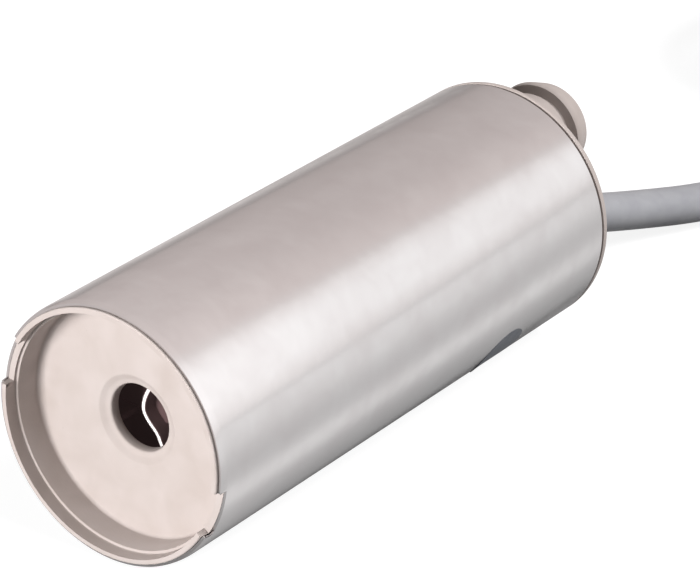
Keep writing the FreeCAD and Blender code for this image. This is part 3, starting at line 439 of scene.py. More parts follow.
# Painted highlight: the vanes' front faces are painted pale where light catches their edges, while
# the rest of the impeller stays dark plastic.
PAINTED_HIGHLIGHT_VANE_EDGE = Finish(
    "painted_highlight_vane_edge", (240, 236, 234), (226, 220, 218), 0.4, 0.1, grain_size=0.3,
    cloud_size=1.5)
LABEL_FILM = Finish(
    "blank_label_film", (66, 71, 81), (55, 60, 70), 0.42, 0.12, coat=0.12, grain_size=0.6,
    grain_height=0.010, cloud_size=2.5)


class Workshop:
    """The materials, ready for the pieces."""

    def __init__(self) -> None:
        """Build every finish once."""
        groups = {"grain": grain_group(), "clouds": cloud_group(), "specks": speck_group()}
        self.by_slot = {slot: finish.build(groups) for slot, finish in FINISHES.items()}
        self.painted_highlight_on_vanes = PAINTED_HIGHLIGHT_VANE_EDGE.build(groups)
        self.label = LABEL_FILM.build(groups)

    def dress_frame(self) -> None:
        """Give every node of the frame the finish that its slot in the record asks for."""
        slots = {part["node"]: part["material_slot"] for part in frame["record"]["subparts"]}
        for name, thing in frame["nodes"].items():
            for holder in thing.material_slots:
                holder.material = self.by_slot[slots[name]]
            LOG.info("%s has the finish for %s", name, slots[name])


SHOP = Workshop()


# Building meshes


@dataclass(frozen=True)
class Corner:
    """A corner of a turned outline, with the width of the bevel that breaks it."""

    radius: float
    station: float
    bevel: float = 0.0
    segments: int = 3

    def holds(self, edge: BMEdge) -> bool:
        """Tell whether an edge lies on the ring that the corner has become."""
        return all(abs(vert.co.xz.length - self.radius) < NEAR
                   and abs(vert.co.y - self.station) < NEAR for vert in edge.verts)


def new_mesh(name: str, bm: BMesh) -> Mesh:
    """Write a mesh out, and free what it was made with.

    Args:
        name: The mesh's name.
        bm: What it was made with.

    Returns:
        The mesh.
    """
    mesh = bpy.data.meshes.new(name)
    bm.to_mesh(mesh)
    bm.free()
    return mesh


def new_object(name: str, data: ID) -> Object:
    """Make an object and put it into the scene.

    Args:
        name: The object's name.
        data: Its mesh, curve, lamp or camera.

    Returns:
        The object.
    """
    thing = bpy.data.objects.new(name, data)
    bpy.context.scene.collection.objects.link(thing)
    return thing


def left_of(heading: Vector) -> Vector:
    """Turn a direction across the axis by 90 degrees, from +X towards +Z."""
    return Vector((-heading.z, 0.0, heading.x))


def turn_to(x: Vector, y: Vector, z: Vector) -> Matrix:
    """Find the turn that brings X, Y and Z to three directions."""
    return Matrix((x, y, z)).transposed().to_4x4()


def verts_of(geom: Iterable[object]) -> list[BMVert]:
    """Pick the vertices out of an operator's result."""
    return [item for item in geom if isinstance(item, BMVert)]


def outwards(bm: BMesh, doubles: bool = False) -> None:
    """Turn a mesh's normals outwards.

    Args:
        bm: The mesh.
        doubles: Whether its doubles are merged first.
    """
    if doubles:
        bmesh.ops.remove_doubles(bm, verts=bm.verts[:], dist=DOUBLE)
    bmesh.ops.recalc_face_normals(bm, faces=bm.faces[:])


def turned(outline: Outline, steps: int = 256, start: float = 0.0,
           middle: Pair = (0.0, 0.0)) -> BMesh:
    """Turn a closed outline about an axis along the pump.

    Args:
        outline: Radius and station of each corner in order, with its bevel's width and segments.
        steps: Number of faces round the turn.
        start: Angle from +X towards +Z at which the first seam lies.
        middle: x and z of the axis.

    Returns:
        A closed mesh in millimetres, with its edges broken as the corners say.
    """
    bm = bmesh.new()
    corners = [Corner(*place) for place in outline]
    verts = []
    for corner in corners:
        side = across(start, corner.radius)
        verts.append(bm.verts.new((side.x, corner.station, side.z)))
    for first, second in zip(verts, verts[1:] + verts[:1]):
        if max(first.co.xz.length, second.co.xz.length) > NEAR:
            bm.edges.new((first, second))
    swept(bm, bm.verts[:] + bm.edges[:], Vector(), Vector((0, 1, 0)), math.tau, steps, closed=True)
    outwards(bm, doubles=True)
    for corner in corners:
        if corner.bevel > 0:
            break_edges(bm, filter(corner.holds, bm.edges), corner.bevel, corner.segments)
    bmesh.ops.translate(bm, verts=bm.verts[:], vec=(middle[0], 0.0, middle[1]))
    return bm


def break_edges(bm: BMesh, edges: Iterable[BMEdge], width: float,
                segments: int = 3) -> list[BMVert]:
    """Bevel some edges, and return the vertices at them."""
    return bmesh.ops.bevel(
        bm, geom=list(edges), offset=width, offset_type="OFFSET", profile=0.5, segments=segments,
        affect="EDGES", material=-1, clamp_overlap=True)["verts"]


def sharp_edges(bm: BMesh, angle: float = 40.0) -> list[BMEdge]:
    """List the edges at which a mesh turns by more than an angle."""
    limit = math.radians(angle)
    return [edge for edge in bm.edges
            if len(edge.link_faces) == 2 and edge.calc_face_angle(0.0) > limit]


def swept(bm: BMesh, geom: list, centre: Vector, axis: Vector, angle: float,
          steps: int, closed: bool = False) -> list:
    """Carry geometry round a circle or a part of it.

    Args:
        bm: The mesh.
        geom: The vertices, edges or faces that are carried.
        centre: A point on the circle's axis.
        axis: The axis' direction.
        angle: How far it goes, in radians.
        steps: Number of steps.
        closed: Whether the end is merged with the start.

    Returns:
        The geometry at the far end.
    """
    return bmesh.ops.spin(bm, geom=geom, cent=centre, axis=axis, dvec=(0, 0, 0), angle=angle,
                          steps=steps, use_merge=closed, use_duplicate=False)["geom_last"]


@dataclass(frozen=True)
class Piece:
    """What a finished piece says about itself: its name, its body and the nodes it stands for."""

    name: str
    slot: str
    nodes: tuple[str, ...] = ()
    body: str = "housing"

    def show(self, bm: BMesh, materials: Sequence[Material] = (), place: Matrix = PLACE,
             smooth_to: float = 32.0) -> Object:
        """Write a mesh out as an object of the scene.

        Args:
            bm: The mesh, which is used up.
            materials: The materials that its faces' indices mean; the slot's own if left out.
            place: The matrix from the mesh's lengths to the frame's metres.
            smooth_to: Edges that turn by more than this angle stay sharp.

        Returns:
            The object, which rides on its body.
        """
        bmesh.ops.transform(bm, matrix=place, verts=bm.verts[:])
        mesh = new_mesh(self.name, bm)
        mesh.shade_smooth()
        mesh.set_sharp_from_angle(angle=math.radians(smooth_to))
        for material in materials or [SHOP.by_slot[self.slot]]:
            mesh.materials.append(material)
        return self.settle(mesh)

    def settle(self, data: ID) -> Object:
        """Put an object into the scene, on its body and in place of its nodes.

        Args:
            data: The object's mesh or curve.

        Returns:
            The object.
        """
        thing = new_object(self.name, data)
        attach(thing, self.body)
        if self.nodes:
            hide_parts(*self.nodes)
        LOG.info("%s rides on %s", thing.name, self.body)
        return thing


def combined(base: BMesh, tool: BMesh, operation: str) -> BMesh:
    """Join one solid with another, or cut it away.

    Args:
        base: The solid that is changed; it is used up.
        tool: The other solid; it is used up.
        operation: UNION or DIFFERENCE.

    Returns:
        The result, with its doubles merged and its normals outwards.
    """
    things = [new_object("solid", new_mesh("solid", bm)) for bm in (base, tool)]
    modifier = things[0].modifiers.new("join", "BOOLEAN")
    modifier.operation = operation
    modifier.solver = "EXACT"
    modifier.object = things[1]
    graph = bpy.context.evaluated_depsgraph_get()
    result = bmesh.new()
    result.from_mesh(bpy.data.meshes.new_from_object(things[0].evaluated_get(graph)))
    for thing in things:
        bpy.data.objects.remove(thing)
    outwards(result, doubles=True)
    return result


def rod(radius: float, front: float, back: float, steps: int = 96) -> BMesh:
    """Make a plain round rod along the pump's axis."""
    return turned([(0.0, front), (radius, front), (radius, back), (0.0, back)], steps)


# Outer pieces


@dataclass(frozen=True)
class Notches:
    """The two notches at the inlet, which go through the cap's rim and the sleeve's edge alike."""

    angle: float = 160.0
    half_steps: int = 10
    steps: int = 300
    floor: float = 1.6
    slack_steps: float = 0.25

    def raise_front(self, bm: BMesh, path: Sequence[Triple], bevel: float) -> None:
        """Draw the front forwards from the notches' floor, everywhere but in the notches.

        Args:
            bm: A mesh turned in as many steps as the notches count, with its front at their floor.
            path: Station, inner radius and outer radius at the floor and at each step forwards.
            bevel: Width of the bevel that breaks the edges left sharp.
        """
        half = (self.half_steps + self.slack_steps) * 360 / self.steps
        _, inner, outer = path[0]
        land = []
        for face in bm.faces:
            centre = face.calc_center_median()
            angle = math.degrees(math.atan2(centre.z, centre.x))
            from_notch = abs((angle - self.angle + 90) % 180 - 90)
            on_floor_ring = abs(centre.y - self.floor) < NEAR and inner < centre.xz.length < outer
            if on_floor_ring and from_notch > half:
                land.append(face)
        for station, next_inner, next_outer in path[1:]:
            raised = bmesh.ops.extrude_face_region(bm, geom=land)["geom"]
            land = [item for item in raised if isinstance(item, BMFace)]
            for vert in {vert for face in land for vert in face.verts}:
                away = Vector((vert.co.x, 0.0, vert.co.z))
                radius = next_outer if away.length > (inner + outer) / 2 else next_inner
                vert.co = away.normalized() * radius + Vector((0.0, station, 0.0))
            inner, outer = next_inner, next_outer
        edges = [edge for edge in sharp_edges(bm)
                 if max(vert.co.y for vert in edge.verts) < self.floor + NEAR
                 and min(vert.co.y for vert in edge.verts) < self.floor - NEAR]
        break_edges(bm, edges, bevel, 2)


NOTCHES = Notches()


@dataclass
class Sleeve:
    """The thin metal tube: drawn in over the inlet cap's rim, with a faint mark behind it."""

    radius: float = 19.0
    wall: float = 0.4
    edge: float = 0.12
    lip_draw: float = 0.2
    lip_round: float = 0.17
    lip_end: float = 1.9
    lip_steps: int = 5
    mark_station: float = 7.6
    mark_width: float = 0.7
    mark_height: float = 0.012

    def lip(self, front: float) -> list[Triple]:
        """Work out how the edge is drawn in.

        Args:
            front: Station of the edge.

        Returns:
            Station, inner and outer radius of each step from the notches' floor to the front.
        """
        path = []
        for step in range(self.lip_steps + 1):
            station = NOTCHES.floor + (front - NOTCHES.floor) * step / self.lip_steps
            bent = ((self.lip_end - station) / (self.lip_end - front)) ** 2
            outer = self.radius - self.mark_height - self.lip_draw * bent
            path.append((station, outer - self.wall, outer))
        return path

    def build(self) -> None:
        """Make the sleeve."""
        back = station_of("outer_sleeve", 1)
        bore = self.radius - self.wall
        low = self.radius - self.mark_height
        mark = self.mark_station
        path = self.lip(station_of("outer_sleeve", 0))
        floor, inner, outer = path[0]
        outline = [
            (inner, floor), (outer, floor), (low, self.lip_end),
            (low, mark - self.mark_width), (self.radius, mark),
            (self.radius, back, self.edge), (bore, back, self.edge / 2),
            (bore, self.lip_end)]
        bm = turned(outline, steps=NOTCHES.steps, start=NOTCHES.angle)
        NOTCHES.raise_front(bm, path, self.lip_round)
        Piece("sleeve", "sleeve_steel", ("outer_sleeve",)).show(bm)


@dataclass
class InletCap:
    """The inlet cap: a rim with two notches, a step, a deep face and a dished hole."""

    radius: float = 18.56
    rim: float = 18.36
    rim_bore: float = 17.6
    rim_round: float = 0.25
    lip_front: float = 0.45
    lip_end: float = 1.9
    ledge_depth: float = 2.05
    recess: float = 17.2
    recess_depth: float = 6.2
    plate: float = 2.1
    skirt: float = 16.41
    groove_front: float = 13.0
    groove_width: float = 1.6
    groove_depth: float = 1.24
    hole: float = 4.95
    hole_back: float = 4.8
    dish: float = 6.5
    dish_depth: float = 0.7
    dish_slope: Pair = (0.75, 0.2)
    edge: float = 0.08
    rim_turns: tuple[float, ...] = (0.0, 25.0, 50.0, 72.0, 90.0)

    def outline(self, floor_radius: float) -> Outline:
        """Draw the cap without the part of its rim that stands between the notches.

        Args:
            floor_radius: Its outer radius at the notches' floor.

        Returns:
            The outline.
        """
        length = station_of("inlet_cap", 1)
        groove = self.radius - self.groove_depth
        groove_back = self.groove_front + self.groove_width
        back = self.recess_depth + self.plate
        dish_floor = self.recess_depth + self.dish_depth
        return [
            (self.rim_bore, NOTCHES.floor), (floor_radius, NOTCHES.floor),
            (self.radius, self.lip_end), (self.radius, self.groove_front),
            (groove, self.groove_front), (groove, groove_back),
            (self.radius, groove_back), (self.radius, length, 0.3),
            (self.skirt, length, 0.3), (self.skirt, back, 0.5),
            (self.hole_back, back, 0.06, 2), (self.hole, dish_floor, 0.22, 4),
            (self.hole + self.dish_slope[0], dish_floor - self.dish_slope[1], 0.3, 3),
            (self.dish, self.recess_depth, 0.15, 3),
            (self.recess, self.recess_depth, 0.5, 6),
            (self.recess, self.ledge_depth, self.edge, 2),
            (self.rim_bore, self.ledge_depth, self.edge, 2)]

    def front(self) -> list[Triple]:
        """Work out the rim from the notches' floor forwards.

        Returns:
            Station, inner and outer radius of each step.
        """
        slope = (self.radius - self.rim) / (self.lip_end - self.lip_front)
        at_floor = self.radius - slope * (self.lip_end - NOTCHES.floor)
        path = [(NOTCHES.floor, self.rim_bore, at_floor), (self.lip_front, self.rim_bore, self.rim)]
        for turn in self.rim_turns:
            bend = math.radians(turn)
            path.append((self.rim_round * (1 - math.sin(bend)), self.rim_bore,
                         self.rim - self.rim_round * (1 - math.cos(bend))))
        return path

    def build(self) -> None:
        """Make the inlet cap."""
        path = self.front()
        bm = turned(self.outline(path[0][2]), steps=NOTCHES.steps, start=NOTCHES.angle)
        NOTCHES.raise_front(bm, path, self.edge)
        Piece("inlet_cap_shell", "cap_plastic", ("inlet_cap",)).show(bm)


@dataclass
class OutletCap:
    """The outlet cap: skirt, rim, end wall, barbed hose tail and the cable's tunnel."""

    radius: float = radius_of("outlet_cap")
    plug: float = 18.56
    skirt_wall: float = 2.15
    rim_height: float = 1.0
    end_wall: float = 2.4
    groove_inset: float = 7.5
    groove_width: float = 1.6
    groove_depth: float = 1.24
    tail_height: float = 8.1
    tail_length: float = 13.5
    neck: float = 6.65
    groove_ahead: float = 1.1
    groove_floor: float = 6.0
    barb: float = 7.85
    barb_edge: float = 0.23
    barb_rise: float = 0.75
    barb_inset: float = 9.15
    root_flare: float = 0.6
    root_step: float = 0.03
    tip_cone: float = 0.4
    bore: float = 4.75
    cable_height: float = -9.0
    gland_seat: float = 4.2
    cable_hole: float = 3.2
    tunnel: float = 5.0
    tunnel_front: float = 81.5
    gland_depth: float = 5.0
    bore_inset: float = 0.6
    overcut: float = 1.0

    def shell(self, face: float) -> BMesh:
        """Turn the skirt, the rim and the end wall.

        Args:
            face: Station of the end face.

        Returns:
            The solid.
        """
        skirt = self.plug - self.skirt_wall
        front = station_of("outlet_cap", 0)
        groove = face - self.groove_inset
        floor = self.plug - self.groove_depth
        return turned([
            (skirt, front, 0.3), (self.plug, front, 0.3), (self.plug, groove),
            (floor, groove), (floor, groove + self.groove_width),
            (self.plug, groove + self.groove_width), (self.plug, face - self.rim_height),
            (self.radius, face - self.rim_height, 0.1), (self.radius, face, 0.28, 4),
            (0.0, face), (0.0, face - self.end_wall), (skirt, face - self.end_wall)])

    def hose_tail(self, face: float) -> BMesh:
        """Turn the hose tail, with its flared root, its barb and its blunt tip.

        Args:
            face: Station of the end face.

        Returns:
            The solid.
        """
        tip = face + self.tail_length
        step = face + self.barb_inset
        root = face - self.end_wall / 2
        foot = self.neck + self.root_flare
        return turned([
            (0.0, root), (foot, root), (foot, face + self.root_step),
            (self.neck, face + self.root_flare, 0.25, 4),
            (self.neck, step - self.groove_ahead, 0.08, 2),
            (self.groove_floor, step - self.groove_ahead, 0.1, 2),
            (self.groove_floor, step, 0.1, 2), (self.barb - self.barb_edge, step, 0.05, 2),
            (self.barb, step + self.barb_rise, 0.3, 3),
            (self.neck, tip - self.tip_cone, 0.25, 3), (self.neck - self.tip_cone, tip, 0.15, 3),
            (0.0, tip)], steps=192, middle=(0.0, self.tail_height))

    def build(self) -> None:
        """Make the outlet cap."""
        face = station_of("outlet_cap", 1) - self.tail_length
        bore_front = face - self.end_wall - self.bore_inset
        bore_back = face + self.tail_length + self.overcut
        past_face = face + self.overcut
        bm = combined(self.shell(face), self.hose_tail(face), "UNION")
        for operation, height, cut in (
                ("UNION", self.cable_height,
                 (self.tunnel, self.tunnel_front, face - self.end_wall / 2)),
                ("DIFFERENCE", self.tail_height, (self.bore, bore_front, bore_back, 128)),
                ("DIFFERENCE", self.cable_height,
                 (self.cable_hole, self.tunnel_front - self.overcut, past_face)),
                ("DIFFERENCE", self.cable_height,
                 (self.gland_seat, face - self.gland_depth, past_face))):
            tool = rod(*cut)
            bmesh.ops.translate(tool, verts=tool.verts[:], vec=(0.0, 0.0, height))
            bm = combined(bm, tool, operation)
        Piece("outlet_cap_shell", "cap_plastic", ("outlet_cap",)).show(bm)


@dataclass
class Gland:
    """The rubber gland where the cable leaves the pump."""

    hole: float = 3.2
    seat: float = 4.16
    flange: float = 5.4
    flange_height: float = 1.2
    tip_wall: float = 0.7
    depth: float = 4.96
    height: float = -9.0

    def build(self) -> None:
        """Make the gland."""
        tip = station_of("cable_gland", 1)
        face = station_of("cable_gland", 0) + self.depth
        rim = face + self.flange_height
        bm = turned([
            (self.hole, face - self.depth), (self.seat, face - self.depth),
            (self.seat, face), (self.flange, face, 0.15),
            (self.flange, rim, 0.4, 4), (self.seat + 0.1, rim, 0.35, 4),
            (self.hole + self.tip_wall, tip, 0.3, 4), (self.hole, tip, 0.1)],
            steps=128, middle=(0.0, self.height))
        Piece("gland", "black_rubber", ("cable_gland",)).show(bm)


@dataclass
class BlankLabel:
    """The small round label low on the sleeve, blank, with its front edge lifted."""

    station: float = 70.4
    angle: float = -39.0
    radius: float = 4.9
    rings: int = 10
    steps: int = 64
    thickness: float = 0.07
    stand_off: float = 0.02
    lift: float = 0.3
    lifted_from: float = 0.55
    lift_slant: float = 0.5

    def build(self) -> None:
        """Make the label as a flat disc, then lay it on the sleeve."""
        bm = bmesh.new()
        verts = [bm.verts.new((self.radius * ring / self.rings, 0.0, 0.0))
                 for ring in range(self.rings + 1)]
        for first, second in zip(verts, verts[1:]):
            bm.edges.new((first, second))
        swept(bm, bm.verts[:] + bm.edges[:], Vector(), UP, math.tau, self.steps, closed=True)
        outwards(bm, doubles=True)
        if bm.faces[0].normal.z < 0:
            bmesh.ops.reverse_faces(bm, faces=bm.faces[:])
        sleeve = Sleeve.radius + self.stand_off
        for vert in bm.verts:
            along, around = vert.co.x, vert.co.y
            ahead = (-along - around * self.lift_slant) / self.radius
            lift = self.lift * max(0.0, ahead - self.lifted_from) ** 2
            side = across(self.angle + math.degrees(around / sleeve), sleeve + lift)
            vert.co = Vector((side.x, self.station + along, side.z))
        outwards(bm)
        bmesh.ops.solidify(bm, geom=bm.faces[:], thickness=-self.thickness)
        Piece("blank_label", "sleeve_steel").show(bm, [SHOP.label], smooth_to=50.0)


# Impeller


@dataclass
class Impeller:
    """The impeller: a hub and a disc with one long curved vane and four short ones.

    The long vane runs through points: x and z as shares of the radius, and the heading there.
    """

    radius: float = 13.37
    vane_front: float = 8.9
    vane_height: float = 4.5
    thickness: float = 0.75
    disc: float = 1.2
    hub: float = 2.6
    hub_nose: float = 2.4
    hub_back: float = 1.0
    bore: float = 1.19
    bore_depth: float = 1.2
    splitter_start: float = 6.4
    splitter_bow: float = 9.0
    splitter_sweep: float = 26.0
    splitter_tips: tuple[float, ...] = (117.0, 183.0, 303.0, 357.0)
    long_vane: tuple[Triple, ...] = (
        (0.606, 0.718, 197.0), (0.0, 0.251, 240.0),
        (-0.075, 0.026, 270.0), (-0.028, -0.086, 307.0),
        (0.086, -0.210, 308.0), (0.146, -0.329, 292.0),
        (-0.322, -0.883, 174.0))
    arc_steps: int = 10
    edge: float = 0.14
    faces_front: float = -0.97

    def wheel(self) -> BMesh:
        """Turn the hub and the disc.

        Returns:
            The solid.
        """
        disc_front = self.vane_front + self.vane_height
        disc_back = disc_front + self.disc
        nose = disc_front - self.hub_nose
        bore_end = disc_front - self.hub_nose + self.bore_depth
        return turned([
            (0.0, nose), (self.hub, nose, 0.25), (self.hub, disc_front, 0.3),
            (self.radius, disc_front, 0.15), (self.radius, disc_back, 0.15),
            (self.hub, disc_back), (self.hub, disc_back + self.hub_back, 0.1),
            (self.bore, disc_back + self.hub_back), (self.bore, bore_end),
            (0.0, bore_end)], steps=144)

    def wall(self, arcs: Sequence[tuple[Vector, float]], start: Vector,
             heading: Vector) -> BMesh:
        """Draw a vane: a narrow strip along arcs, drawn back to the disc.

        Args:
            arcs: Centre and angle in radians of each arc, from +X towards +Z.
            start: Where the middle line starts.
            heading: Its direction there.

        Returns:
            The vane, whose front faces have the material index 1, the painted highlight on its
            edge.
        """
        bm = bmesh.new()
        side = left_of(heading) * (self.thickness / 2)
        ends = [bm.verts.new(start + side), bm.verts.new(start - side)]
        geom = [*ends, bm.edges.new(ends)]
        for centre, angle in arcs:
            geom = swept(bm, geom, centre, Vector((0, -1, 0)), angle, self.arc_steps)
        outwards(bm, doubles=True)
        depth = self.vane_height + self.disc / 2
        back = bmesh.ops.extrude_face_region(bm, geom=bm.faces[:], use_keep_orig=True)["geom"]
        bmesh.ops.translate(bm, verts=verts_of(back), vec=(0.0, depth, 0.0))
        bmesh.ops.translate(bm, verts=bm.verts[:], vec=(0.0, self.vane_front, 0.0))
        outwards(bm)
        edges = [edge for edge in sharp_edges(bm)
                 if all(vert.co.y < self.vane_front + NEAR for vert in edge.verts)]
        break_edges(bm, edges, self.edge, 2)
        # Index 1 gives the front faces the painted highlight, pale where light catches the vane
        # edges.
        for face in bm.faces:
            if face.normal.y < self.faces_front:
                face.material_index = 1
        return bm

    def long_vane_wall(self) -> BMesh:
        """Draw the vane that runs from rim to rim past the left of the hub.

        Returns:
            The vane.
        """
        line = [(Vector((x, 0.0, z)) * self.radius, across(heading))
                for x, z, heading in self.long_vane]
        arcs: list[tuple[Vector, float]] = []
        for first, second in zip(line, line[1:]):
            arcs += biarc(*first, *second)
        return self.wall(arcs, *line[0])

    def splitter(self, tip_angle: float) -> BMesh:
        """Draw a short vane, which leans back from its start to its tip.

        Args:
            tip_angle: The tip's direction.

        Returns:
            The vane.
        """
        tip = across(tip_angle, self.radius - self.thickness)
        start = across(tip_angle + self.splitter_sweep, self.splitter_start)
        chord = tip - start
        half_turn = math.asin(chord.length / 2 / self.splitter_bow)
        along = math.degrees(math.atan2(chord.z, chord.x)) + math.degrees(half_turn)
        heading = across(along)
        centre = start - left_of(heading) * self.splitter_bow
        return self.wall([(centre, -2 * half_turn)], start, heading)

    def build(self) -> None:
        """Make the impeller."""
        bm = self.wheel()
        for vane in [self.long_vane_wall(), *map(self.splitter, self.splitter_tips)]:
            mesh = new_mesh("vane", vane)
            bm.from_mesh(mesh)
            bpy.data.meshes.remove(mesh)
        Piece("impeller_wheel", "impeller_plastic", ("impeller",), "rotor").show(
            bm, [SHOP.by_slot["impeller_plastic"], SHOP.painted_highlight_on_vanes])


def arc_to(start: Vector, heading: Vector, end: Vector) -> tuple[Vector, float]:
    """Find the arc that leaves a point in a direction and passes through another point.

    Args:
        start: Where it leaves, across the axis.
        heading: Its direction there, of length 1.
        end: The point that it passes through.

    Returns:
        The arc's centre, and its angle in radians, positive from +X towards +Z.
    """
    chord = end - start
    left = left_of(heading)
    sideways = chord.dot(left)
    if abs(sideways) < STRAIGHT:
        sideways = STRAIGHT
    radius = chord.length_squared / (2 * sideways)
    return start + left * radius, 2 * math.atan2(sideways, chord.dot(heading))


def biarc(start: Vector, heading: Vector, end: Vector,
          end_heading: Vector) -> list[tuple[Vector, float]]:
    """Join two points by two arcs that meet both headings.

    Args:
        start: The first point.
        heading: The direction there.
        end: The last point.
        end_heading: The direction there.

    Returns:
        Centre and angle of both arcs.
    """
    chord = end - start
    slope = chord.dot(heading + end_heading)
    spread = 2 * (1 - heading.dot(end_heading))
    if spread < PARALLEL:
        reach = chord.length_squared / (4 * chord.dot(end_heading))
    else:
        reach = (math.sqrt(slope ** 2 + spread * chord.length_squared) - slope) / spread
    joint = (start + end + (heading - end_heading) * reach) / 2
    back_centre, back_angle = arc_to(end, -end_heading, joint)
    return [arc_to(start, heading, joint), (back_centre, -back_angle)]


# Cable


@dataclass
class Cable:
    """The free cable: out of the gland, down to the floor and into a tied coil.
    """

    diameter: float = 0.0063
    length: float = 0.991
    route: tuple[Triple, ...] = (
        (0.0, 0.0431, 0.010),
        (0.0, 0.05825, 0.010),
        (0.0011, 0.0707, 0.0059),
        (0.0096, 0.0879, 0.00375),
        (0.0124, 0.10075, 0.0036),
        (0.030654, 0.139019, 0.0036),
    )
    coil_start: Triple = (0.033366, 0.144706, 0.0036)
    coil_heading: float = 64.5
    inner_turn: float = 0.0177
    pitch: float = 0.0069
    steps: tuple[int, ...] = (4, 3, 2, 1, 0, 1, 2, 3, 4, 3, 2)
    climbs: tuple[int, ...] = (4, 8)
    points_per_half_turn: int = 8

    def coil_points(self) -> tuple[list[Vector], Vector, float]:
        """Work out the control points of the coil: in below, out above that, and in on top.

        Returns:
            The points, the place where the last half turn ends and the heading there.
        """
        points = []
        place = Vector(self.coil_start)
        heading = self.coil_heading
        outside = 1 / math.cos(math.pi / self.points_per_half_turn / 2)
        for number, step in enumerate(self.steps):
            radius = self.inner_turn + self.pitch / 2 * step
            climb = self.pitch if number in self.climbs else 0.0
            centre = place + on_floor(heading + 90, radius)
            for count in range(self.points_per_half_turn):
                share = (count + 0.5) / self.points_per_half_turn
                point = centre + on_floor(heading - 90 + share * 180, radius * outside)
                eased = share * share * (3 - 2 * share)
                points.append(point + UP * (climb * eased))
            place = centre + on_floor(heading + 90, radius) + UP * climb
            heading += 180
        return points, place, heading

    def build(self) -> Object:
        """Make the cable.

        Returns:
            The cable's object.
        """
        coil, place, _ = self.coil_points()
        points = [*map(Vector, self.route), *coil, place]
        curve = bpy.data.curves.new("cable", "CURVE")
        curve.dimensions = "3D"
        curve.bevel_depth = self.diameter / 2
        curve.bevel_resolution = 10
        curve.resolution_u = 10
        curve.use_fill_caps = True
        spline = curve.splines.new("NURBS")
        spline.points.add(len(points) - 1)
        for target, point in zip(spline.points, points):
            target.co = (*point, 1.0)
        spline.order_u = 3
        spline.use_endpoint_u = True
        curve.materials.append(SHOP.by_slot["cable_grey"])
        return Piece("cable", "cable_grey", ("cable_run", "cable_coil")).settle(curve)


@dataclass
class BaredEnd:
    """The two insulated cores at the cable's end, with fine copper wires at their tips."""

    core_radius: float = 1.25
    core_sides: int = 32
    core_edge: float = 0.12
    spread: float = 1.4
    reach: float = 26.0
    bend: float = 20.0
    bend_steps: int = 18
    copper_reach: float = 8.0
    wire_radius: float = 0.13
    wire_sides: int = 8
    wire_pitch: float = 0.2665
    wire_overlap: float = 0.03

    def bundle(self) -> list[Pair]:
        """Place the wires of a bundle: one in the middle, a ring of six and a ring of twelve.

        Returns:
            Each wire's distance from the middle line, sideways and up.
        """
        places = [(0.0, 0.0)]
        for ring, count in ((1, 6), (2, 12)):
            for number in range(count):
                place = across(360 * number / count, self.wire_pitch * ring)
                places.append((place.x, place.z))
        return places

    def tube(self, bm: BMesh, line: tuple[Vector, Vector], offset: Pair, radius: float,
             arc: tuple[Vector, float, float], sides: int) -> None:
        """Add a round rod that is bent to an arc.

        Args:
            bm: The mesh that it is added to.
            line: Where the arc's middle line starts, and the direction there.
            offset: The rod's distance from the middle line, sideways and up.
            radius: The rod's radius.
            arc: The arc's centre, and the angles in radians at which the rod starts and ends.
            sides: Number of faces round it.
        """
        start, heading = line
        side = UP.cross(heading)
        centre, first, last = arc
        middle = Matrix.Translation(start + side * offset[0] + UP * offset[1])
        ring = bmesh.ops.create_circle(bm, cap_ends=True, segments=sides, radius=radius,
                                       matrix=middle @ turn_to(side, UP, heading))["verts"]
        bmesh.ops.rotate(bm, verts=ring, cent=centre, matrix=Matrix.Rotation(first, 3, "Z"))
        face = next(face for face in ring[0].link_faces if len(face.verts) == sides)
        swept(bm, [face, *face.edges[:], *face.verts[:]], centre, UP, last - first, self.bend_steps)

    def build(self, end: Vector, heading_angle: float) -> list[Object]:
        """Make both cores and their wires.

        Args:
            end: Where the sheath ends, in millimetres in the frame.
            heading_angle: The cable's direction there, from +X towards +Y.

        Returns:
            The objects, which go with the cable.
        """
        heading = on_floor(heading_angle)
        side = UP.cross(heading)
        made = []
        for name, sign in (("brown", 1), ("blue", -1)):
            line = (end + side * (sign * self.spread), heading)
            bend = self.bend - sign * self.spread
            centre = line[0] + side * bend
            cut, tip = self.reach / bend, (self.reach + self.copper_reach) / bend
            core, wires = bmesh.new(), bmesh.new()
            self.tube(core, line, (0.0, 0.0), self.core_radius, (centre, 0.0, cut), self.core_sides)
            outwards(core)
            break_edges(core, sharp_edges(core), self.core_edge, 2)
            for place in self.bundle():
                self.tube(wires, line, place, self.wire_radius,
                          (centre, cut - self.wire_overlap, tip), self.wire_sides)
            outwards(wires)
            for bm, part, slot, node in ((core, "core_sheath", f"{name}_insulation", "core"),
                                         (wires, "wires", "copper", "copper")):
                piece = Piece(f"{name}_{part}", slot, (f"{name}_{node}",))
                made.append(piece.show(bm, place=IN_METRES))
        return made


